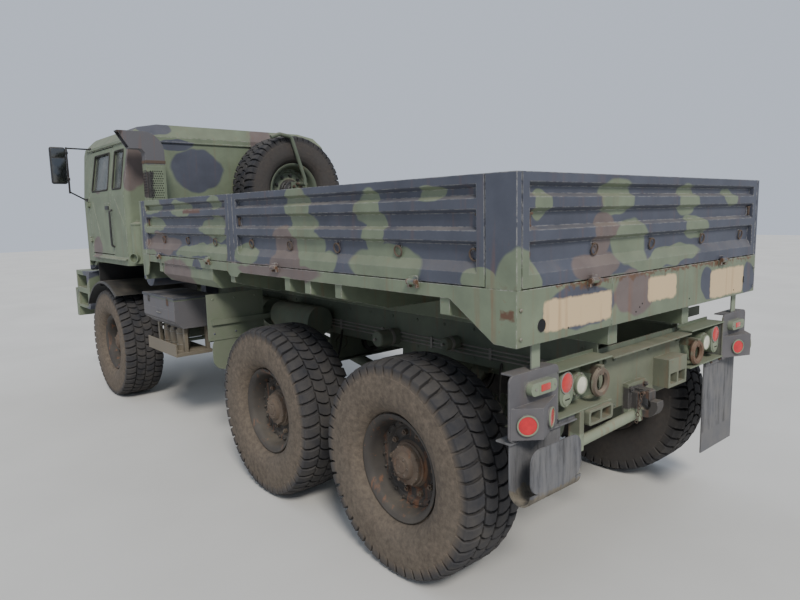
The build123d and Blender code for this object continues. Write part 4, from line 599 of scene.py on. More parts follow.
def addRod(target, start, end, radius, endRadius=None, segments=16, bevel=0.0, material=None):
    shape = bmesh.new()
    start, end = Vector(start), Vector(end)
    along = end - start
    bmesh.ops.create_cone(shape, cap_ends=True, cap_tris=False, segments=segments, radius1=radius,
                          radius2=radius if endRadius is None else endRadius, depth=along.length)
    if bevel:
        rims = [e for e in shape.edges if abs(e.verts[0].co.z - e.verts[1].co.z) < 1e-6]
        bevelEdges(shape, rims, bevel, 2)
    turned = along.to_track_quat("Z", "Y").to_matrix().to_4x4()
    placeShape(target, shape, Matrix.Translation((start + end) / 2) @ turned, material)


def spinShape(profile, steps, closed=False):
    # profile points are (along X, distance from X)
    shape = bmesh.new()
    verts = [shape.verts.new((along, 0, away)) for along, away in profile]
    pairs = list(zip(verts, verts[1:]))
    if closed:
        pairs.append((verts[-1], verts[0]))
    edges = [shape.edges.new(pair) for pair in pairs]
    bmesh.ops.spin(shape, geom=verts + edges, cent=(0, 0, 0), axis=(1, 0, 0), dvec=(0, 0, 0), angle=2 * pi,
                   steps=steps, use_merge=True, use_normal_flip=False, use_duplicate=False)
    bmesh.ops.remove_doubles(shape, verts=shape.verts, dist=1e-5)
    bmesh.ops.recalc_face_normals(shape, faces=shape.faces)
    return shape


def facing(place, direction):
    # matrix that turns local X to a direction and moves it to a place
    turned = Vector(direction).to_track_quat("X", "Z").to_matrix().to_4x4()
    return Matrix.Translation(place) @ turned


def addFacing(target, shape, place, direction, material):
    placeShape(target, shape, facing(place, direction), material)


def onSide(side, place):
    return (side * place[0], *place[1:])


def stretchedAbout(z, factor):
    # matrix that makes a shape taller about a height
    return Matrix.Translation((0, 0, z)) @ Matrix.Scale(factor, 4, (0, 0, 1)) @ Matrix.Translation((0, 0, -z))


def ringShape(radius, bar, steps=24, sides=8):
    return spinShape([(bar * cos(2 * pi * n / sides), radius + bar * sin(2 * pi * n / sides)) for n in range(sides)],
                     steps, closed=True)


def addPipe(target, points, radius, closed=False, sides=2, material=None):
    run = bpy.data.curves.new("pipeRun", "CURVE")
    run.dimensions = "3D"
    run.bevel_depth = radius
    run.bevel_resolution = sides
    run.use_fill_caps = True
    spline = run.splines.new("NURBS")
    spline.points.add(len(points) - 1)
    for point, place in zip(spline.points, points):
        point.co = (*place, 1)
    spline.order_u = 3
    spline.use_endpoint_u = not closed
    spline.use_cyclic_u = closed
    spline.resolution_u = 4
    holder = bpy.data.objects.new("pipeRun", run)
    data = bpy.data.meshes.new_from_object(holder)
    shape = bmesh.new()
    shape.from_mesh(data)
    bmesh.ops.remove_doubles(shape, verts=shape.verts, dist=1e-6)
    bmesh.ops.recalc_face_normals(shape, faces=shape.faces)
    bpy.data.objects.remove(holder)
    bpy.data.meshes.remove(data)
    bpy.data.curves.remove(run)
    placeShape(target, shape, None, material)


def addSeal(target, corners, radius, reach):
    # a closed strip along straight edges with small rounded corners
    points = []
    for n, corner in enumerate(corners):
        here, back, ahead = Vector(corner), Vector(corners[n - 1]), Vector(corners[(n + 1) % len(corners)])
        points += [here.lerp(back, reach), here, here.lerp(ahead, reach)]
    addPipe(target, points, radius, closed=True, material=0)


def nutShape(radius, depth):
    # hexagonal nut with its stud, along local X
    stud, rise = 0.5, 0.45
    shape = bmesh.new()
    bmesh.ops.create_cone(shape, cap_ends=True, segments=6, radius1=radius, radius2=radius, depth=depth)
    bmesh.ops.translate(shape, vec=(0, 0, depth / 2), verts=shape.verts)
    top = [f for f in shape.faces if f.normal.z > 0.9]
    bmesh.ops.inset_region(shape, faces=top, thickness=radius * (1 - stud))
    studTop = bmesh.ops.extrude_face_region(shape, geom=top)
    raised = [v for v in studTop["geom"] if isinstance(v, bmesh.types.BMVert)]
    bmesh.ops.translate(shape, vec=(0, 0, depth * rise), verts=raised)
    bmesh.ops.delete(shape, geom=top, context="FACES")
    bmesh.ops.rotate(shape, matrix=Matrix.Rotation(radians(90), 3, "Y"), verts=shape.verts)
    return shape


def boltShape(radius, depth):
    # low domed head, along local X
    return spinShape([(0, radius), (depth * 0.5, radius * 0.96), (depth * 0.85, radius * 0.66), (depth, 0)], 8)


def lensShape(radius, rise, steps=32):
    return spinShape([(0, radius), (rise * 0.35, radius * 0.985), (rise * 0.7, radius * 0.80),
                      (rise * 0.93, radius * 0.45), (rise, 0)], steps)


def rimShape(inner, outer, height, steps=32):
    return spinShape([(-0.002, outer), (height * 0.7, outer), (height, outer - 0.0015), (height, inner + 0.001),
                      (height * 0.6, inner), (-0.002, inner)], steps, closed=True)


def finishPiece(mesh, name, materials, body, replaced=(), smooth=32):
    data = bpy.data.meshes.new(name)
    mesh.to_mesh(data)
    mesh.free()
    for finish in materials:
        data.materials.append(bpy.data.materials[finish])
    for polygon in data.polygons:
        polygon.use_smooth = True
    data.set_sharp_from_angle(angle=radians(smooth))
    piece = placeObject(name, data)
    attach(piece, body)
    if replaced:
        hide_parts(*replaced)
    return piece


forward, rearward, upward = (0, 1, 0), (0, -1, 0), (0, 0, 1)
sideWords = (("left", -1), ("right", 1))

# Tyres: a spun casing with two staggered rows of blocks on each side of its middle
tyreLooks = {
    "radius": 0.5828, "pitches": 48, "steps": 96, "blockLength": 0.061, "shoulderLength": 0.057,
    "casing": [(0.0, 0.5670), (0.05, 0.5665), (0.10, 0.5640), (0.14, 0.5590), (0.165, 0.5500), (0.179, 0.5360),
               (0.1875, 0.5130), (0.1895, 0.5060), (0.1930, 0.5010), (0.1945, 0.4800), (0.1966, 0.4550),
               (0.1972, 0.4320), (0.1958, 0.4050), (0.1912, 0.3760), (0.1840, 0.3520), (0.1800, 0.3470),
               (0.1770, 0.3380), (0.1650, 0.3220), (0.1480, 0.3090), (0.1330, 0.3010), (0.1215, 0.2965),
               (0.1207, 0.2940), (0.1207, 0.2622)],
    "centre": (0.005, 0.088), "shoulder": (0.098, 0.1915), "groove": 0.018, "crown": 3.0,
}


def treadBlock(inner, outer, length, shear, wave):
    # a bent bar across the tread; local X across, Y along the tread, Z away from the axle
    shape = bmesh.new()
    bmesh.ops.create_cube(shape, size=1)
    bmesh.ops.scale(shape, vec=(outer - inner, length, 0.03), verts=shape.verts)
    bmesh.ops.translate(shape, vec=((outer + inner) / 2, 0, 0), verts=shape.verts)
    across = [e for e in shape.edges if abs(e.verts[0].co.x - e.verts[1].co.x) > 0.01]
    bmesh.ops.subdivide_edges(shape, edges=across, cuts=2, use_grid_fill=True)
    for vert in shape.verts:
        x = vert.co.x
        middle = inner + 0.2 * (outer - inner) < x < outer - 0.2 * (outer - inner)
        top = tyreLooks["radius"] - tyreLooks["crown"] * max(0.0, x - 0.105) ** 2
        foot = top - tyreLooks["groove"] - (0.044 if x > 0.18 else 0.012)
        vert.co.z = top if vert.co.z > 0 else foot
        vert.co.y += shear * (x - inner) + (wave if middle else 0)
    sharp = [e for e in shape.edges if len(e.link_faces) == 2 and e.calc_face_angle() > 0.9]
    bevelEdges(shape, sharp, 0.0035, 1)
    return keepShape(shape, 0)


def makeTyre():
    half = tyreLooks["casing"]
    mesh = bmesh.new()
    placeShape(mesh, spinShape(half + [(-x, r) for x, r in reversed(half[1:])], tyreLooks["steps"], closed=True))
    pitch = 2 * pi / tyreLooks["pitches"]
    shoulder = treadBlock(*tyreLooks["shoulder"], tyreLooks["shoulderLength"], 0.20, 0.007)
    centre = treadBlock(*tyreLooks["centre"], tyreLooks["blockLength"], -0.22, 0.014)
    mirrored = Matrix.Scale(-1, 4, (1, 0, 0))
    rows = ((shoulder, 0, False), (centre, 0.42, False), (centre, 0.92, True), (shoulder, 0.5, True))
    for n in range(tyreLooks["pitches"]):
        for data, phase, mirror in rows:
            turned = Matrix.Rotation((n + phase) * pitch, 4, "X")
            stamp(mesh, data, turned @ mirrored if mirror else turned)
    return keepShape(mesh)


# Wheels: two-piece rim with its ring of clamp nuts, ten wheel nuts and a planetary hub.
# Each ring of fasteners: how many, distance from the axle, place along it, radius, depth and material
wheelLooks = {
    "section": [(0.1150, 0.0), (0.1150, 0.030), (0.1105, 0.036), (0.1105, 0.060), (0.1030, 0.070), (0.0900, 0.077),
                (0.0870, 0.098), (0.0820, 0.105), (0.0620, 0.1105), (0.0570, 0.1180), (0.0480, 0.1200),
                (0.0380, 0.1290), (0.0240, 0.1370), (0.0170, 0.1480), (0.0170, 0.1960), (0.0240, 0.2040),
                (0.0330, 0.2090), (0.0350, 0.2310), (0.0310, 0.2380), (0.0600, 0.2440), (0.0980, 0.2500),
                (0.1180, 0.2560), (0.1300, 0.2660), (0.1380, 0.2780), (0.1410, 0.2860), (0.1395, 0.2918),
                (0.1210, 0.2918), (0.1210, 0.2617), (-0.1210, 0.2617), (-0.1210, 0.2918), (-0.1395, 0.2918),
                (-0.1410, 0.2850), (-0.1300, 0.2560), (-0.1180, 0.2497), (0.0030, 0.2497), (0.0030, 0.1280),
                (-0.0670, 0.0980), (-0.0670, 0.0602), (0.0070, 0.0602), (0.0070, 0.0)],
    "steps": 72, "hubEdge": 0.128,
    "fasteners": ((10, 0.1675, 0.0170, 0.0165, 0.020, 1), (20, 0.2205, 0.0345, 0.0085, 0.011, 0),
                  (12, 0.1035, 0.0800, 0.0065, 0.007, 1), (6, 0.0480, 0.1105, 0.0060, 0.0045, 1)),
    # on the hub's cap
    "plugs": ((0.109, 0.1165, 0.0, 0.016, 0.009), (0.100, 0.108, -0.078, 0.030, 0.010)),
}


def makeWheel():
    rim = spinShape(wheelLooks["section"], wheelLooks["steps"])
    for face in rim.faces:
        middle = face.calc_center_median()
        away = (middle.y ** 2 + middle.z ** 2) ** 0.5
        face.material_index = 1 if away < wheelLooks["hubEdge"] and middle.x > 0.02 else 0
    mesh = bmesh.new()
    placeShape(mesh, rim)
    for count, away, along, radius, depth, material in wheelLooks["fasteners"]:
        data = keepShape(nutShape(radius, depth), material)
        for n in range(count):
            turned = Matrix.Rotation(2 * pi * n / count, 4, "X")
            stamp(mesh, data, turned @ Matrix.Translation((along - 0.001, 0, away)))
    for start, end, y, z, radius in wheelLooks["plugs"]:
        addRod(mesh, (start, y, z), (end, y, z), radius, segments=6, material=1)
    return keepShape(mesh)


# where each wheel's middle is, how far its outer face is turned from the right, and its body
wheelPlaces = {
    row + "_" + word: ((side * 1.021, y, 0.585), 180 if word == "left" else 0, row + "_" + word + "_wheel")
    for row, y in (("front", 2.180), ("mid", -1.210), ("rear", -2.580)) for word, side in sideWords
}
wheelPlaces["spare"] = ((0.470, 1.1075, 2.180), -90, "chassis")


def addRoadDustAndInnerShade(piece, centre, axis, outward, amount):
    # how dusty the rubber is, from the bead out to the tread's edge; less on the side turned inwards, which paints
    # shade on that wall
    layer = piece.data.attributes.new("roadDustWithInnerShade", "FLOAT", "POINT")
    values = []
    for vert in piece.data.vertices:
        away = vert.co - centre
        radius = (away - axis * away.dot(axis)).length
        # the inward side keeps only a little of its pale dust: painted shade
        shaded = 1.0 if away.dot(outward) > 0 else 0.3
        values.append(amount * shaded * max(0.0, min(1.0, (0.560 - radius) / 0.055)))
    layer.data.foreach_set("value", values)


def placeWheelPart(kind, data, name, matrix, materials, body):
    mesh = bmesh.new()
    stamp(mesh, data, matrix)
    return finishPiece(mesh, kind + "Made_" + name, materials, body, [kind + "_" + name], smooth=28)


tyreData, wheelData = makeTyre(), makeWheel()
for number, (name, (place, turn, body)) in enumerate(wheelPlaces.items()):
    # each wheel is turned a little further than the one before
    matrix = Matrix.Translation(place) @ Matrix.Rotation(radians(turn), 4, "Z") @ Matrix.Rotation(0.4 * number, 4, "X")
    tyre = placeWheelPart("tyre", tyreData, name, matrix, ["tyreRubber"], body)
    axis = matrix.to_3x3() @ Vector((1, 0, 0))
    if name == "spare":
        addRoadDustAndInnerShade(tyre, Vector(place), axis, Vector(rearward), 0.35)
        # the spare's hub takes black paint: painted shade for the dish's shadowed middle
        placeWheelPart("wheel", wheelData, name, matrix, ["chassisPaint", "blackPaint"], body)
    else:
        addRoadDustAndInnerShade(tyre, Vector(place), axis, Vector((place[0], 0, 0)), 1.0)
        placeWheelPart("wheel", wheelData, name, matrix, ["wheelPaint", "hubIron"], body)
print("tyres and wheels made")

# Rear lamps: lenses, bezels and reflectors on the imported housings
lampLooks = {
    "marker": {"x": 1.012, "z": 1.165, "half": (0.032, 0.0155), "face": -3.4150, "bars": 0.041, "screws": 0.068},
    "reflector": {"tip": (1.095, -3.465, 1.028), "feet": ((1.203, -3.379, 1.028), (0.888, -3.379, 1.028)),
                  "radius": 0.0400},
    "face": -3.3670, "tail": (0.790, 1.130, 0.0430), "blackout": (0.790, 1.052, 0.0300),
    "reverse": (0.668, 1.096, 0.0410),
}


def addLens(mesh, spot, radius, rise, glass, inner, outer, height, rim):
    placeShape(mesh, lensShape(radius, rise), spot, glass)
    placeShape(mesh, rimShape(inner, outer, height), spot, rim)


mesh = bmesh.new()
marker, reflector, face = lampLooks["marker"], lampLooks["reflector"], lampLooks["face"]
bolt = keepShape(boltShape(0.0055, 0.004), 4)
for side in (-1, 1):
    x, y, z = side * marker["x"], marker["face"], marker["z"]
    reachX, reachZ = marker["half"]
    addBlock(mesh, (x - reachX, y - 0.0035, z - reachZ), (x + reachX, y + 0.004, z + reachZ), 0.004, 3, 1)
    for edge in (-1, 1):
        bar, screw = x + edge * marker["bars"], x + edge * marker["screws"]
        addBlock(mesh, (bar - 0.002, y - 0.002, z - 0.024), (bar + 0.002, y + 0.003, z + 0.024), 0.001, 1, 3)
        addRod(mesh, (screw, y + 0.002, z), (screw, y - 0.0025, z), 0.006, segments=8, material=4)
    tip = Vector(onSide(side, reflector["tip"]))
    for foot in reflector["feet"]:
        foot = Vector(onSide(side, foot))
        out = (foot - tip).cross(Vector(upward)).normalized()
        out = -out if out.y > 0 else out
        radius = reflector["radius"]
        spot = facing((tip + foot) / 2 + out * 0.0088, out)
        addLens(mesh, spot, radius, 0.0035, 0, radius - 0.0005, 0.0462, 0.0042, 3)
    x, z, radius = onSide(side, lampLooks["tail"])
    spot = stretchedAbout(z, 1.08) @ facing((x, face, z), rearward)
    addLens(mesh, spot, radius, 0.012, 1, radius - 0.001, 0.0490, 0.0050, 4)
    x, z, radius = onSide(side, lampLooks["blackout"])
    addFacing(mesh, lensShape(radius, 0.007), (x, face, z), rearward, 3)
    # near-black bar across the blackout lens: painted shade of its slit
    addBlock(mesh, (x - 0.017, face - 0.0085, z - 0.003), (x + 0.017, face - 0.004, z + 0.003), 0.001, 1, 5)
    addBlock(mesh, (x - 0.009, face - 0.0040, z - 0.036), (x + 0.009, face + 0.002, z - 0.024), 0.003, 2, 3)
    x, z, radius = onSide(side, lampLooks["reverse"])
    addLens(mesh, facing((x, face, z), rearward), radius, 0.010, 2, radius - 0.001, 0.0465, 0.0050, 3)
    for n in range(8):
        turned = Matrix.Rotation((n + 0.5) * pi / 4, 4, "X") @ Matrix.Translation((0, 0, 0.0525))
        stamp(mesh, bolt, facing((x, face + 0.0141, z), rearward) @ turned)
lampFinishes = ["reflectorRed", "redLens", "creamLens", "fittingPaint", "wornSteel", "holeDark"]
finishPiece(mesh, "rearLenses", lampFinishes, "chassis")

# Rear sill: plate seam, drain holes drawn as shallow near-black discs of painted shade, and small fasteners
sillLooks = {
    "face": -3.420, "holes": ((-1.054, 1.440, 0.0285, 1.0), (1.040, 1.452, 0.0120, 2.2)),
    "specks": ((-0.86, 1.404), (-0.28, 1.405), (-0.22, 1.440), (-0.245, 1.425), (0.30, 1.41), (0.90, 1.40)),
    "seam": -0.508, "cornerBolts": ((-1.195, 1.52), (-1.195, 1.40), (1.195, 1.52), (1.195, 1.40)),
}
mesh = bmesh.new()
face, seam = sillLooks["face"], sillLooks["seam"]
for x, z, radius, stretch in sillLooks["holes"]:
    spot = stretchedAbout(z, stretch) @ facing((x, face, z), rearward)
    placeShape(mesh, spinShape([(-0.001, radius), (0.0006, radius), (0.0008, 0)], 28), spot, 1)
    placeShape(mesh, rimShape(radius - 0.0005, radius + 0.0018, 0.0016, 28), spot, 0)
for x, z in sillLooks["specks"]:
    addFacing(mesh, boltShape(0.0045, 0.0022), (x, face, z), rearward, 1)
for x, z in sillLooks["cornerBolts"]:
    addFacing(mesh, nutShape(0.009, 0.006), (x, face, z), rearward, 0)
addBlock(mesh, (seam - 0.002, face - 0.0012, 1.368), (seam + 0.002, face + 0.002, 1.598), 0.0006, 1, 0)
finishPiece(mesh, "sillFittings", ["sillPaint", "holeDark"], "chassis")

# Lashing rings in the lowest fold of each panel, with their staples, and the latches at the panels' ends
panelLooks = {
    "bedRear": -3.420, "half": 1.219, "foldDepth": 0.029, "ringHeight": 1.737, "ringRadius": 0.026, "ringBar": 0.0042,
    "latchHeight": 1.888, "tailgateLatch": 1.120, "tailgate": (-1.141, -0.635, -0.108, 0.470, 1.006),
    # along each side from the bed's rear: the rings, then the latches
    "rear": ((0.246, 0.745, 1.260, 1.754, 2.240), (0.215, 2.400)), "front": ((2.800, 3.300, 3.800), (2.590, 4.130)),
}


def addLashing(mesh, spot):
    # local X points out of the panel, Z up
    radius, bar = panelLooks["ringRadius"], panelLooks["ringBar"]
    staple = ((-0.002, -0.011, radius), (0.012, -0.011, radius), (0.014, 0, radius + 0.001), (0.012, 0.011, radius),
              (-0.002, 0.011, radius))
    addPipe(mesh, [spot @ Vector(point) for point in staple], 0.0038, sides=1, material=1)
    addBlock(mesh, (-0.001, -0.020, radius - 0.012), (0.0022, 0.020, radius + 0.012), 0.001, 1, 0, spot)
    tilted = spot @ Matrix.Translation((0.010, 0, 0)) @ Matrix.Rotation(radians(8), 4, "Y")
    placeShape(mesh, ringShape(radius, bar, 20, 6), tilted, 1)


def addLatch(mesh, spot):
    # pull latch: plate, keeper and a bent lever; local X out of the panel, Z up
    addBlock(mesh, (-0.001, -0.026, -0.038), (0.004, 0.026, 0.038), 0.002, 1, 0, spot)
    addBlock(mesh, (0.003, -0.009, -0.030), (0.014, 0.009, 0.020), 0.003, 2, 1, spot)
    ends = [spot @ Vector((0.010, y, 0.020)) for y in (-0.022, 0.022)]
    addRod(mesh, *ends, 0.0055, segments=8, material=1)
    for y, z in ((-0.019, -0.030), (0.019, -0.030), (-0.019, 0.031), (0.019, 0.031)):
        placeShape(mesh, boltShape(0.004, 0.003), spot @ Matrix.Translation((0.004, y, z)), 1)


mesh = bmesh.new()
tailgateY = panelLooks["bedRear"] + panelLooks["foldDepth"]
ringZ, latchZ = panelLooks["ringHeight"], panelLooks["latchHeight"]
for x in panelLooks["tailgate"]:
    addLashing(mesh, facing((x, tailgateY, ringZ), rearward))
for side in (-1, 1):
    addLatch(mesh, facing((side * panelLooks["tailgateLatch"], tailgateY, latchZ), rearward))
finishPiece(mesh, "tailgateRings", ["camoPaint", "rustySteel"], "tailgate")
for word, side in sideWords:
    x = side * (panelLooks["half"] - panelLooks["foldDepth"])
    for row in ("rear", "front"):
        mesh = bmesh.new()
        for add, stations, z in zip((addLashing, addLatch), panelLooks[row], (ringZ, latchZ)):
            for station in stations:
                add(mesh, facing((x, panelLooks["bedRear"] + station, z), (side, 0, 0)))
        finishPiece(mesh, "sideRings_" + row + "_" + word, ["camoPaint", "rustySteel"], row + "_" + word + "_dropside")
print("lamps, sill and panel fittings made")

# Mirrors: rounded heads on slender arms, glass facing the rear
mirrorLooks = {
    "head": ((1.372, 2.594, 2.306), (1.529, 2.645, 2.698)), "stem": (1.360, 2.6175), "stemEnds": (2.205, 2.700),
    "arms": (((1.112, 2.6475, 2.689), 2.689), ((1.198, 2.6475, 2.135), 2.222)), "armRadius": 0.0085,
    "stemRadius": 0.0105, "clamps": (2.36, 2.64),
    "feet": (((1.1115, 2.597, 2.677), (1.118, 2.643, 2.7025)), ((1.1905, 2.597, 2.112), (1.200, 2.643, 2.148))),
}
mesh = bmesh.new()
(nearX, rearY, lowZ), (farX, frontY, highZ) = mirrorLooks["head"]
stemX, stemY = mirrorLooks["stem"]
for side in (-1, 1):
    addBlock(mesh, (side * nearX, rearY, lowZ), (side * farX, frontY, highZ), 0.022, 5, 0)
    for bottom, top in ((lowZ + 0.016, highZ - 0.120), (highZ - 0.108, highZ - 0.016)):
        addBlock(mesh, (side * (nearX + 0.014), rearY - 0.003, bottom), (side * (farX - 0.014), rearY + 0.006, top),
                 0.002, 2, 1)
    ends = [(side * stemX, stemY, z) for z in mirrorLooks["stemEnds"]]
    addRod(mesh, *ends, mirrorLooks["stemRadius"], segments=12, bevel=0.002, material=0)
    for z in mirrorLooks["clamps"]:
        addBlock(mesh, (side * (stemX - 0.014), stemY - 0.014, z - 0.016),
                 (side * (nearX + 0.012), stemY + 0.014, z + 0.016), 0.004, 2, 0)
    for root, z in mirrorLooks["arms"]:
        addRod(mesh, onSide(side, root), (side * stemX, stemY, z), mirrorLooks["armRadius"], segments=10, material=0)
    for low, high in mirrorLooks["feet"]:
        addBlock(mesh, onSide(side, low), onSide(side, high), 0.002, 1, 0)
    for y in (2.605, 2.635):
        addFacing(mesh, boltShape(0.006, 0.004), (side * 1.2, y, 2.130), (side, 0, 0), 0)
finishPiece(mesh, "mirrorsMade", ["blackPaint", "mirrorGlass"], "cab", ["mirrors"])

# Window strips, wipers and door furniture on the cab
cabLooks = {
    "half": 1.190, "eaveHalf": 1.110, "belt": 2.150, "eave": 2.690, "scuttle": (3.135, 2.060), "head": (2.830, 2.690),
    "doorWindow": ((1.890, 2.215), (2.445, 2.215), (2.415, 2.590), (1.904, 2.590)),
    "quarterWindow": ((1.465, 2.215), (1.745, 2.215), (1.745, 2.590), (1.465, 2.590)),
    "screen": ((0.030, 2.110), (0.870, 2.110), (0.845, 2.630), (0.030, 2.630)), "strip": 0.0085,
    "doorCrease": ((1.1885, 2.420, 2.105), (1.1885, 2.225, 1.735)),
    "quarterCrease": ((1.1885, 1.665, 2.125), (1.1885, 1.410, 1.845)),
    "grabBar": ((1.186, 1.640), (1.216, 1.640), (1.219, 1.690), (1.219, 1.960), (1.216, 2.010), (1.186, 2.010)),
    "grabBarY": 1.772, "grilleX": 0.6375, "grilleBars": 26, "barPitch": 0.051,
}


def flankX(z):
    # half width of the cab's flank at a height
    if z <= cabLooks["belt"]:
        return cabLooks["half"]
    share = (z - cabLooks["belt"]) / (cabLooks["eave"] - cabLooks["belt"])
    return cabLooks["half"] + (cabLooks["eaveHalf"] - cabLooks["half"]) * share


def screenY(z):
    (lowY, lowZ), (highY, highZ) = cabLooks["scuttle"], cabLooks["head"]
    return lowY + (highY - lowY) * (z - lowZ) / (highZ - lowZ)


def addCrease(mesh, side, ends, material):
    start, end = (onSide(side, point) for point in ends)
    addRod(mesh, start, end, 0.0055, segments=8, material=material)


for word, side in sideWords:
    mesh = bmesh.new()
    outward = (side, 0, 0)
    addSeal(mesh, [(side * flankX(z), y, z) for y, z in cabLooks["doorWindow"]], cabLooks["strip"], 0.10)
    # paddle handle in its dished plate, lock and two screws
    addBlock(mesh, (side * 1.1885, 1.840, 1.995), (side * 1.1935, 1.985, 2.085), 0.006, 2, 2)
    addBlock(mesh, (side * 1.1925, 1.855, 2.015), (side * 1.2040, 1.970, 2.055), 0.005, 3, 1)
    addFacing(mesh, boltShape(0.011, 0.006), (side * 1.193, 1.868, 1.955), outward, 3)
    for y in (1.852, 1.973):
        addFacing(mesh, boltShape(0.005, 0.003), (side * 1.1935, y, 2.075), outward, 3)
    # pressed crease that runs down the door
    addCrease(mesh, side, cabLooks["doorCrease"], 2)
    # check strap bolts down the hinge edge
    for z in (1.640, 1.760, 2.020, 2.140):
        addFacing(mesh, boltShape(0.007, 0.004), (side * 1.1895, 2.515, z), outward, 2)
    finishPiece(mesh, "doorFittings_" + word, ["sealRubber", "blackPlastic", "camoPaint", "wornSteel"], word + "_door")

mesh = bmesh.new()
for side in (-1, 1):
    addSeal(mesh, [(side * flankX(z), y, z) for y, z in cabLooks["quarterWindow"]], cabLooks["strip"], 0.14)
    addSeal(mesh, [(side * x, screenY(z) + 0.001, z) for x, z in cabLooks["screen"]], cabLooks["strip"], 0.10)
    # crease and grab bar on the rear quarter
    addCrease(mesh, side, cabLooks["quarterCrease"], 1)
    addPipe(mesh, [(side * x, cabLooks["grabBarY"], z) for x, z in cabLooks["grabBar"]], 0.010, material=2)
    # wiper: pivot, sprung arm and blade over the glass
    pivotX, pivotZ, tipX, tipZ = side * 0.640, 2.078, side * 0.360, 2.215
    pivotY = screenY(pivotZ)
    addRod(mesh, (pivotX, pivotY - 0.005, pivotZ), (pivotX, pivotY + 0.022, pivotZ + 0.010), 0.014, 0.010, material=2)
    addRod(mesh, (pivotX, pivotY + 0.020, pivotZ + 0.006), (tipX, screenY(tipZ) + 0.022, tipZ + 0.004), 0.0055, 0.0035,
           segments=8, material=2)
    blade = (tipX - side * 0.21, screenY(2.165) + 0.013, 2.170), (tipX + side * 0.23, screenY(2.265) + 0.013, 2.270)
    addRod(mesh, *blade, 0.0055, segments=6, material=0)
    # round amber lamps beside the grille
    spot = facing((side * 0.775, 3.180, 1.715), forward)
    placeShape(mesh, rimShape(0.042, 0.052, 0.026), spot, 2)
    placeShape(mesh, lensShape(0.0425, 0.012), spot @ Matrix.Translation((0.018, 0, 0)), 3)
# near-black backing behind the grille as painted shade, its bars, screws around it
addBlock(mesh, (-0.6385, 3.1625, 1.6515), (0.6385, 3.1645, 1.7785), 0.0, 1, 4)
for n in range(cabLooks["grilleBars"]):
    x = cabLooks["barPitch"] * n - cabLooks["grilleX"]
    addBlock(mesh, (x - 0.0016, 3.1635, 1.652), (x + 0.0016, 3.1680, 1.778), 0.0, 1, 2)
bolt = keepShape(boltShape(0.0065, 0.004), 1)
for xs, y, heights in (((-0.62, -0.31, 0.0, 0.31, 0.62), 3.180, (1.630, 1.800)),
                       ((-0.55, -0.18, 0.18, 0.55), 3.185, (1.855, 1.915))):
    for x in xs:
        for z in heights:
            stamp(mesh, bolt, facing((x, y, z), forward))
# lifting eyes at the roof's corners
for side in (-1, 1):
    for y in (1.62, 2.55):
        placeShape(mesh, ringShape(0.020, 0.005, 16, 6), Matrix.Translation((side * 0.70, y, 2.812)), 1)
finishPiece(mesh, "cabFittings", ["sealRubber", "camoPaint", "blackPaint", "amberLens", "holeDark"], "cab")

# Headlamps and bumper fastenings
headLooks = {"place": (0.930, 3.470, 0.940), "radius": 0.088, "bumperFace": 3.4795}
mesh = bmesh.new()
for side in (-1, 1):
    spot, radius = facing(onSide(side, headLooks["place"]), forward), headLooks["radius"]
    addLens(mesh, spot, radius - 0.004, 0.0085, 0, radius - 0.006, 0.0945, 0.0075, 1)
    for n in range(4):
        turned = Matrix.Rotation(pi / 4 + n * pi / 2, 4, "X") @ Matrix.Translation((0.007, 0, 0.0895))
        placeShape(mesh, boltShape(0.0035, 0.002), spot @ turned, 2)
    for x in (0.16, 0.36, 0.68):
        for z in (0.83, 1.03):
            addFacing(mesh, boltShape(0.013, 0.0), (side * x, headLooks["bumperFace"], z), forward, 2)
finishPiece(mesh, "headlampLenses", ["clearLens", "blackPaint", "wornSteel"], "chassis")

# Exhaust: clamp bands, and the holes in its shield and casing, drawn as shallow near-black discs of painted shade
stackLooks = {
    "x": (-1.060, -0.880), "y": (1.075, 1.175), "bands": (1.62, 1.93, 2.43), "bandHeight": 0.028,
    # holes: columns, rows, first place across and up, spacing across and up
    "shieldHoles": (6, 17, -1.025, 2.0011, 0.020, 0.0222), "sideHoles": (4, 9, 1.088, 2.15775, 0.021, 0.0255),
    "shieldY": 1.067,
}


def holePlaces(columns, rows, across, up, acrossStep, upStep):
    # every second row is moved by half a step
    return [(across + (column + 0.5 * (row % 2)) * acrossStep, up + row * upStep) for row in range(rows)
            for column in range(columns)]


mesh = bmesh.new()
(xLow, xHigh), (yLow, yHigh) = stackLooks["x"], stackLooks["y"]
for z in stackLooks["bands"]:
    top = z + stackLooks["bandHeight"]
    for y in ((yLow - 0.004, yLow + 0.001), (yHigh - 0.001, yHigh + 0.004)):
        addBlock(mesh, (xLow - 0.004, y[0], z), (xHigh + 0.004, y[1], top), 0.001, 1, 0)
    for x in ((xLow - 0.004, xLow + 0.001), (xHigh - 0.001, xHigh + 0.004)):
        addBlock(mesh, (x[0], yLow, z), (x[1], yHigh, top), 0.001, 1, 0)
hole = keepShape(spinShape([(-0.001, 0.0062), (0.0006, 0.0062), (0.0007, 0)], 10), 1)
for x, z in holePlaces(*stackLooks["shieldHoles"]):
    stamp(mesh, hole, facing((x, stackLooks["shieldY"], z), rearward))
for y, z in holePlaces(*stackLooks["sideHoles"]):
    stamp(mesh, hole, facing((xLow, y, z), (-1, 0, 0)))
finishPiece(mesh, "stackFittings", ["rustySteel", "holeDark"], "chassis")
print("cab, front and exhaust fittings made")

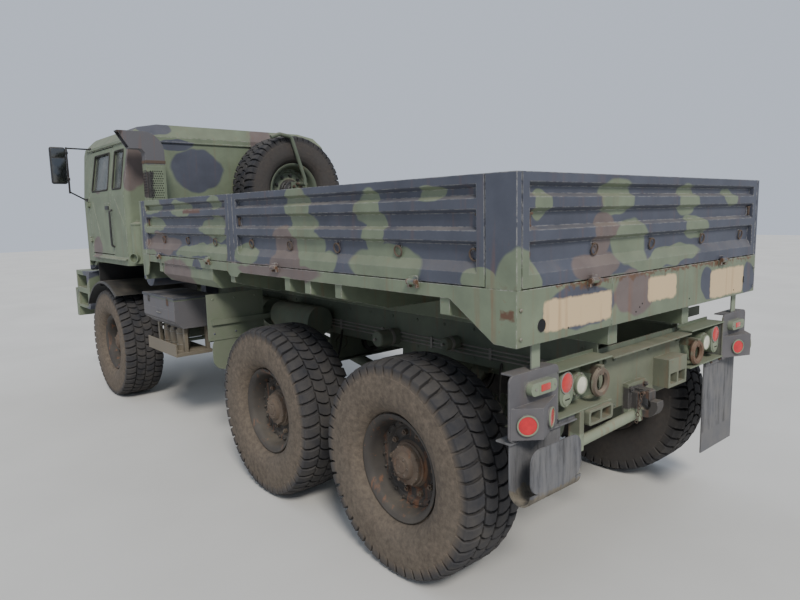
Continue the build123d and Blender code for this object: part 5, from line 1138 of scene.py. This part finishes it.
# Running gear: brake chambers, air lines, rail bolts, shaft hanger and small air cans
gearLooks = {
    "rearAxles": (-1.210, -2.580), "axleZ": 0.585, "chamberX": 0.600,
    "chamber": [(-0.080, 0.0), (-0.080, 0.055), (-0.062, 0.074), (-0.012, 0.078), (-0.012, 0.086), (0.012, 0.086),
                (0.012, 0.078), (0.055, 0.074), (0.075, 0.052), (0.078, 0.0)],
    "lineX": -0.4355, "lineHeights": (1.060, 1.085, 1.110), "lineRun": (-3.20, -2.0, -1.95, 0.42),
    "clips": (-3.05, -2.60, -2.10, -1.60, -1.10, -0.60, -0.10, 0.35),
    "railX": 0.430, "railBolts": 26, "firstBolt": -3.22, "boltPitch": 0.252,
    "hanger": (((-0.405, -0.900, 0.760), (0.405, -0.888, 1.030)), ((-0.405, -0.940, 0.748), (0.405, -0.850, 0.760)),
               ((-0.412, -0.940, 1.030), (0.412, -0.850, 1.042))),
    "airCans": ((-0.4320, -1.748, 1.081, 0.055, 0.185), (-0.4320, -2.325, 1.120, 0.040, 0.120)),
}
mesh = bmesh.new()
for side in (-1, 1):
    # brake chambers behind the rear axle, ahead of the middle one
    for axleY, way in zip(gearLooks["rearAxles"], (1, -1)):
        x, y, z = side * gearLooks["chamberX"], axleY + way * 0.125, gearLooks["axleZ"] + 0.205
        hoseY = y - way * 0.02
        addFacing(mesh, spinShape(gearLooks["chamber"], 28), (x, y, z), (side, 0, 0), 1)
        addRod(mesh, (x + side * 0.070, y, z), (x + side * 0.155, y, z - 0.015), 0.012, segments=10, material=2)
        addBlock(mesh, (x - 0.030, y - 0.018, z - 0.180), (x + 0.030, y + 0.018, z - 0.066), 0.004, 1, 0)
        addPipe(mesh, [(x - side * 0.076, y, z), (x - side * 0.115, y, z + 0.01), (x - side * 0.140, hoseY, z + 0.10),
                       (side * 0.440, hoseY, z + 0.245), (side * 0.434, hoseY, 1.035)], 0.0085, material=3)
# air lines along the outer face of the left rail, with their clips
for z in gearLooks["lineHeights"]:
    addPipe(mesh, [(gearLooks["lineX"], y, z) for y in gearLooks["lineRun"]], 0.0055, sides=1, material=2)
for y in gearLooks["clips"]:
    addBlock(mesh, (-0.4425, y - 0.010, 1.048), (-0.4315, y + 0.010, 1.122), 0.002, 1, 2)
# bolts along both rails
bolt = keepShape(boltShape(0.011, 0.007), 0)
for side in (-1, 1):
    for n in range(gearLooks["railBolts"]):
        for z in ((1.035, 1.215) if n % 2 else (1.215,)):
            y = gearLooks["firstBolt"] + gearLooks["boltPitch"] * n
            stamp(mesh, bolt, facing((side * gearLooks["railX"], y, z), (side, 0, 0)))
# shaft hanger under the rails with its bearing and lightening holes' rims
for low, high in gearLooks["hanger"]:
    addBlock(mesh, low, high, 0.003, 1, 0)
for x in (-0.300, 0.300):
    addFacing(mesh, rimShape(0.050, 0.060, 0.010, 28), (x, -0.900, 0.895), rearward, 0)
addFacing(mesh, rimShape(0.072, 0.100, 0.030), (0, -0.902, 0.880), rearward, 1)
# small air cans on the outside of the left rail, with their bands
for x, y, z, radius, length in gearLooks["airCans"]:
    can = [(0.0, 0.0), (0.0, radius), (length - 0.014, radius), (length - 0.004, radius * 0.86),
           (length, radius * 0.45), (length, 0.0)]
    addFacing(mesh, spinShape(can, 28), (x, y, z), (-1, 0, 0), 0)
    addFacing(mesh, rimShape(radius, radius + 0.004, 0.020, 28), (x - 0.06, y, z), (-1, 0, 0), 2)
    addRod(mesh, (x - length, y, z), (x - length - 0.018, y, z), 0.010, segments=10, bevel=0.002, material=2)
finishPiece(mesh, "runningGearFittings", ["chassisPaint", "darkIron", "wornSteel", "sealRubber"], "chassis")

# Left flank: lid latches, handle, bottle bands and valves, retaining strips; trough rivets; splash guard bolts
flankLooks = {
    "latches": (0.430, 0.880), "bottles": (0.480, 0.630, 0.780), "bottleX": -1.060, "strips": (1.018, 1.122),
    "handle": ((-1.194, 0.60), (-1.194, 0.60), (-1.203, 0.60), (-1.203, 0.70), (-1.194, 0.70)), "handleZ": 1.085,
    "rivets": 7, "firstRivet": -0.50, "rivetPitch": 0.145,
}
mesh = bmesh.new()
for y in flankLooks["latches"]:
    addBlock(mesh, (-1.2010, y - 0.016, 1.160), (-1.1945, y + 0.016, 1.205), 0.002, 1, 2)
    addBlock(mesh, (-1.2055, y - 0.010, 1.172), (-1.1990, y + 0.010, 1.232), 0.002, 2, 2)
addPipe(mesh, [(x, y, flankLooks["handleZ"]) for x, y in flankLooks["handle"]], 0.005, sides=1, material=1)
for y in flankLooks["bottles"]:
    x = flankLooks["bottleX"]
    for z in (0.800, 0.900):
        addFacing(mesh, ringShape(0.0535, 0.0035, 24, 6), (x, y, z), upward, 1)
    addRod(mesh, (x - 0.050, y, 0.945), (x - 0.078, y, 0.945), 0.012, segments=8, material=2)
for z in flankLooks["strips"]:
    addBlock(mesh, (-1.1955, 0.300, z - 0.002), (-1.1935, 1.010, z + 0.002), 0.0008, 1, 0)
for n in range(flankLooks["rivets"]):
    y = flankLooks["firstRivet"] + flankLooks["rivetPitch"] * n
    addFacing(mesh, boltShape(0.007, 0.004), (-1.205, y, 1.515), (-1, 0, 0), 3)
for side in (-1, 1):
    for x in (0.80, 0.98, 1.16):
        for z in (1.02, 1.29):
            addFacing(mesh, boltShape(0.009, 0.005), (side * x, -0.420, z), rearward, 3)
finishPiece(mesh, "leftFlankFittings", ["boxPaint", "wornSteel", "darkIron", "camoPaint"], "chassis")

# Fuel tank, spare wheel clamp, flaps' bolts, hitch hardware
hitchLooks = {
    "tankCap": (0.940, -0.280), "clamp": (0.507, 0.975, 2.212), "clampNuts": 5, "chainLinks": 9,
    "flapNuts": (((-1.17, -1.06, -0.95, -0.86), (-3.345, 0.948), upward),
                 ((0.76, 0.88, 1.00, 1.11), (-3.360, 0.956), rearward)),
    "pins": ((-0.525, 1.145), (0.520, 1.120)),
}
mesh = bmesh.new()
capX, capY = hitchLooks["tankCap"]
addFacing(mesh, rimShape(0.046, 0.060, 0.018, 28), (capX, capY, 1.193), upward, 1)
addFacing(mesh, lensShape(0.046, 0.014, 28), (capX, capY, 1.195), upward, 1)
addBlock(mesh, (capX - 0.045, capY - 0.006, 1.196), (capX + 0.045, capY + 0.006, 1.216), 0.003, 2, 1)
for y in (-0.150, 0.670):
    for z in (0.62, 1.14):
        addFacing(mesh, nutShape(0.010, 0.010), (1.1645, y, z), (1, 0, 0), 1)
nut = keepShape(nutShape(0.016, 0.016), 2)
for n in range(hitchLooks["clampNuts"]):
    turned = Matrix.Rotation(2 * pi * n / hitchLooks["clampNuts"], 4, "X") @ Matrix.Translation((0, 0, 0.044))
    stamp(mesh, nut, facing(hitchLooks["clamp"], rearward) @ turned)
for xs, place, direction in hitchLooks["flapNuts"]:
    for x in xs:
        addFacing(mesh, nutShape(0.009, 0.008), (x, *place), direction, 2)
# pintle: base bolts, latch pin and its chain
for x in (-0.185, -0.035):
    for z in (0.815, 0.975):
        addFacing(mesh, nutShape(0.014, 0.014), (x, -3.348, z), rearward, 0)
addRod(mesh, (-0.155, -3.405, 0.955), (-0.065, -3.405, 0.955), 0.009, segments=10, bevel=0.002, material=2)
for n in range(hitchLooks["chainLinks"]):
    # every second link is turned, and each is a little longer than wide
    spot = Matrix.Translation((-0.158 - 0.006 * n, -3.400, 0.950 - 0.017 * n))
    turned = spot @ Matrix.Rotation(pi / 2 * (n % 2), 4, "Z")
    placeShape(mesh, ringShape(0.0085, 0.0022, 10, 5), turned @ Matrix.Scale(1.25, 4, upward), 2)
# crossbeam bolts and receiver pins
for x in (-0.39, -0.30, 0.05, 0.39):
    for z in (0.905, 1.150):
        addFacing(mesh, nutShape(0.012, 0.011), (x, -3.314, z), rearward, 1)
for x, z in hitchLooks["pins"]:
    ends = [(x + reach, -3.376, z - 0.002) for reach in (-0.026, 0.026)]
    addRod(mesh, *ends, 0.013, segments=12, bevel=0.002, material=2)
finishPiece(mesh, "rearHardware", ["darkIron", "chassisPaint", "rustySteel"], "chassis")

# Cargo floor: raised treads between the posts and dished lashing points
floorLooks = {
    "low": (-1.10, -3.33), "high": (1.10, 0.80), "top": 1.600, "planks": 11, "points": 5, "pointX": 0.955,
    "treadHalf": 0.085, "jointHalf": 0.012,
}
mesh = bmesh.new()
(xLow, yLow), (xHigh, yHigh), top = floorLooks["low"], floorLooks["high"], floorLooks["top"]
plank, half = (xHigh - xLow) / floorLooks["planks"], floorLooks["treadHalf"]
for n in range(floorLooks["planks"]):
    x = xLow + plank * (n + 0.5)
    addBlock(mesh, (x - half, yLow, top - 0.002), (x + half, yHigh, top + 0.003), 0.0015, 1, 0)
for n in range(1, floorLooks["planks"]):
    # dark joints between the treads
    x, half = xLow + plank * n, floorLooks["jointHalf"]
    addBlock(mesh, (x - half, yLow, top - 0.002), (x + half, yHigh, top + 0.0006), 0.0004, 1, 3)
for side in (-1, 1):
    for n in range(floorLooks["points"]):
        x, y = side * floorLooks["pointX"], yLow + 0.30 + (yHigh - yLow - 0.6) * n / (floorLooks["points"] - 1)
        addBox(mesh, (x, y, top + 0.00325), (0.05, 0.05, 0.00125), 0.0012, 1, 1)
        addFacing(mesh, ringShape(0.032, 0.0055, 20, 6), (x, y, top + 0.010), upward, 2)
finishPiece(mesh, "cargoFloorTreads", ["floorSteel", "chassisPaint", "rustySteel", "sealRubber"], "chassis")
print("running gear, flank and floor fittings made")

# Mudguards over the front wheels, each a pressed arch with a turned lip, two stays and a splash curtain inboard, all
# in black paint: painted shade of the dark wheel arches
guardLooks = {
    "centre": (2.180, 0.585), "reach": 0.672, "stretch": 1.101, "from": 33.4, "sweep": 92.0, "inner": 0.500,
    "outer": 1.232, "lip": 0.020, "wall": 0.004, "stays": (1.900, 2.640), "stayX": (0.428, 0.640), "stayZ": 1.112,
    "curtainX": (0.486, 0.492), "curtain": ((1.460, 2.530, 1.438), (2.520, 2.900, 1.330)), "curtainFoot": 1.136,
    "curtainBolts": 6, "baffle": ((0.492, 2.500, 1.180), (1.165, 2.506, 1.436)),
}
mesh = bmesh.new()
curtainBolt = keepShape(boltShape(0.009, 0.006), 1)
reach, outer, start = guardLooks["reach"], guardLooks["outer"], radians(guardLooks["from"])
section = [(guardLooks["inner"], reach - 0.012), (guardLooks["inner"] + 0.010, reach), (outer - 0.008, reach),
           (outer, reach - 0.006), (outer, reach - guardLooks["lip"])]
for side in (-1, 1):
    arch = bmesh.new()
    row = [arch.verts.new((x, away * cos(start), away * sin(start))) for x, away in section]
    lines = [arch.edges.new(pair) for pair in zip(row, row[1:])]
    bmesh.ops.spin(arch, geom=row + lines, cent=(0, 0, 0), axis=(1, 0, 0), dvec=(0, 0, 0),
                   angle=radians(guardLooks["sweep"]), steps=28, use_duplicate=False)
    bmesh.ops.solidify(arch, geom=arch.faces[:], thickness=guardLooks["wall"])
    bmesh.ops.scale(arch, vec=(side, guardLooks["stretch"], 1), verts=arch.verts[:])
    bmesh.ops.recalc_face_normals(arch, faces=arch.faces[:])
    placeShape(mesh, arch, Matrix.Translation((0, *guardLooks["centre"])), 0)
    for y in guardLooks["stays"]:
        root, end = [(side * x, y, guardLooks["stayZ"]) for x in guardLooks["stayX"]]
        addRod(mesh, root, end, 0.014, segments=12, bevel=0.002, material=0)
        addFacing(mesh, nutShape(0.013, 0.010), end, (side, 0, 0), 1)
    near, far = (side * x for x in guardLooks["curtainX"])
    for back, front, top in guardLooks["curtain"]:
        addBlock(mesh, (near, back, guardLooks["curtainFoot"]), (far, front, top), 0.002, 1, 0)
    # baffle across, that closes the arch towards the bumper, black as painted shade
    low, high = guardLooks["baffle"]
    addBlock(mesh, onSide(side, low), onSide(side, high), 0.002, 1, 0)
    for n in range(guardLooks["curtainBolts"]):
        stamp(mesh, curtainBolt, facing((far, 1.540 + 0.180 * n, 1.400), (side, 0, 0)))
finishPiece(mesh, "frontMudguards", ["blackPaint", "wornSteel"], "chassis")
print("mudguards made")

# Seats: stuffed cushion and backrest on a sprung base, one pair of pads simulated and used on both sides
seatLooks = {
    "x": 0.620, "cushionPlace": (1.875, 1.775), "cushionSize": (0.480, 0.500, 0.110), "backPlace": (1.635, 1.820),
    "backSize": (0.440, 0.620, 0.110), "lean": 12, "corner": 0.070, "inset": 0.010, "voxel": 0.010,
    "pressure": 4.0, "steps": 20, "cap": 0.014, "channelDepth": 0.005, "channelWidth": 0.008,
    "cushionChannels": (-0.12, -0.02, 0.08), "backChannels": (-0.20, -0.10, 0.0, 0.10, 0.20),
}


def evaluatedMesh(form):
    return bpy.data.meshes.new_from_object(form.evaluated_get(bpy.context.evaluated_depsgraph_get()))


def makePad(name, size, channels, front):
    # a rounded slab a little smaller than its place, blown up like a stuffed cover, then sewn channels pressed in
    width, depth, height = (s - 2 * seatLooks["inset"] for s in size)
    slab = bmesh.new()
    bmesh.ops.create_cube(slab, size=1.0, matrix=Matrix.Diagonal((width, depth, height, 1)))
    uprights = [e for e in slab.edges if abs(e.verts[0].co.z - e.verts[1].co.z) > 0.5 * height]
    bevelEdges(slab, uprights, seatLooks["corner"] - seatLooks["inset"], 6)
    rims = [e for e in slab.edges if abs(e.verts[0].co.z - e.verts[1].co.z) < 0.001
            and len({f.normal.z > 0.5 or f.normal.z < -0.5 for f in e.link_faces}) == 2]
    bevelEdges(slab, rims, 0.020, 3)
    data = bpy.data.meshes.new(name)
    slab.to_mesh(data)
    slab.free()
    form = placeObject(name, data)
    remesh = form.modifiers.new("even", "REMESH")
    remesh.mode = "VOXEL"
    remesh.voxel_size = seatLooks["voxel"]
    even = evaluatedMesh(form)
    form.modifiers.clear()
    form.data = even
    starts = [v.co.copy() for v in even.vertices]
    cloth = form.modifiers.new("stuffing", "CLOTH")
    cloth.settings.use_pressure = True
    cloth.settings.uniform_pressure_force = seatLooks["pressure"]
    cloth.settings.effector_weights.gravity = 0
    cloth.settings.quality = 4
    cloth.point_cache.frame_start, cloth.point_cache.frame_end = 1, seatLooks["steps"]
    for step in range(1, seatLooks["steps"] + 1):
        scene.frame_set(step)
    stuffed = evaluatedMesh(form)
    form.modifiers.clear()
    scene.frame_set(1)
    for vert, start in zip(stuffed.vertices, starts):
        away = vert.co - start
        if away.length > seatLooks["cap"]:
            away *= seatLooks["cap"] / away.length
        spot = start + away
        if vert.normal.z * front > 0.3:
            nearest = min(abs(spot.y - line) for line in channels)
            spot.z -= front * seatLooks["channelDepth"] * max(0.0, 1 - (nearest / seatLooks["channelWidth"]) ** 2)
        vert.co = spot
    bpy.data.objects.remove(form)
    return stuffed


tilt = radians(seatLooks["lean"])
leanFrame = Matrix(((1, 0, 0, 0), (0, -sin(tilt), -cos(tilt), seatLooks["backPlace"][0]),
                    (0, cos(tilt), -sin(tilt), seatLooks["backPlace"][1]), (0, 0, 0, 1)))
pads = {
    "Cushion": (makePad("seatCushionForm", seatLooks["cushionSize"], seatLooks["cushionChannels"], 1),
                Matrix.Translation((0, *seatLooks["cushionPlace"]))),
    "Back": (makePad("seatBackForm", seatLooks["backSize"], seatLooks["backChannels"], -1),
             leanFrame @ Matrix.Translation((0, seatLooks["backSize"][1] / 2, seatLooks["backSize"][2] / 2))),
}
for label, side in sideWords:
    for part, (data, place) in pads.items():
        mesh = bmesh.new()
        mesh.from_mesh(data)
        mesh.transform(Matrix.Translation((side * seatLooks["x"], 0, 0)) @ place)
        pad = finishPiece(mesh, label + "Seat" + part, ["seatCloth"], "cab", ["seats"], smooth=60)
        fine = pad.modifiers.new("fine", "SUBSURF")
        fine.levels = fine.render_levels = 1

# Seat bases with their bellows and side rails, instrument bezels and switches
mesh = bmesh.new()
for side in (-1, 1):
    x, y = side * seatLooks["x"], seatLooks["cushionPlace"][0]
    addBox(mesh, (x, y, 1.515), (0.170, 0.180, 0.015), 0.005, 2, 0)
    for n in range(5):
        addBox(mesh, (x, y, 1.545 + 0.030 * n), (0.150 - 0.004 * (n % 2), 0.165, 0.015), 0.010, 3, 1)
    addBox(mesh, (x, y, 1.701), (0.190, 0.200, 0.021), 0.006, 2, 0)
    for edge in (-1, 1):
        rail = x + edge * 0.205
        addBlock(mesh, (rail - 0.006, y - 0.235, 1.700), (rail + 0.006, y + 0.180, 1.728), 0.003, 2, 0)
        addFacing(mesh, nutShape(0.014, 0.010), (x + edge * 0.213, y - 0.215, 1.715), (edge, 0, 0), 0)
dashLooks = {
    "bezel": (-0.76, 2.6901, 1.905), "bezelPitch": 0.095, "bezels": 4, "switchX": -0.20, "switchPitch": 0.052,
    "switches": 6,
}
for n in range(dashLooks["bezels"]):
    x, y, z = dashLooks["bezel"]
    for shape in (rimShape(0.034, 0.042, 0.010, 24), lensShape(0.034, 0.004, 24)):
        addFacing(mesh, shape, (x + dashLooks["bezelPitch"] * n, y, z), (0, -1, -0.22), 2)
for n in range(dashLooks["switches"]):
    x = dashLooks["switchX"] + dashLooks["switchPitch"] * n
    addBlock(mesh, (x, 2.668, 1.880), (x + 0.035, 2.700, 1.930), 0.003, 2, 2)
finishPiece(mesh, "seatBases", ["blackPaint", "sealRubber", "blackPlastic"], "cab", ["seats"])
print("seats stuffed and set")

# Floor
floorShape = bmesh.new()
bmesh.ops.create_grid(floorShape, x_segments=1, y_segments=1, size=40)
paleFloor = placeObject("paleFloor", keepShape(floorShape))
tree, shader, where = newMaterial("paleFloor")
tone = addRamp(tree, addNoise(tree, where, 0.8, 4.0)["Fac"], (0.3, (0.60, 0.59, 0.56)), (0.7, (0.66, 0.65, 0.62)))
setShader(tree, shader, {"Base Color": tone, "Roughness": 0.9})
paleFloor.data.materials.append(bpy.data.materials["paleFloor"])
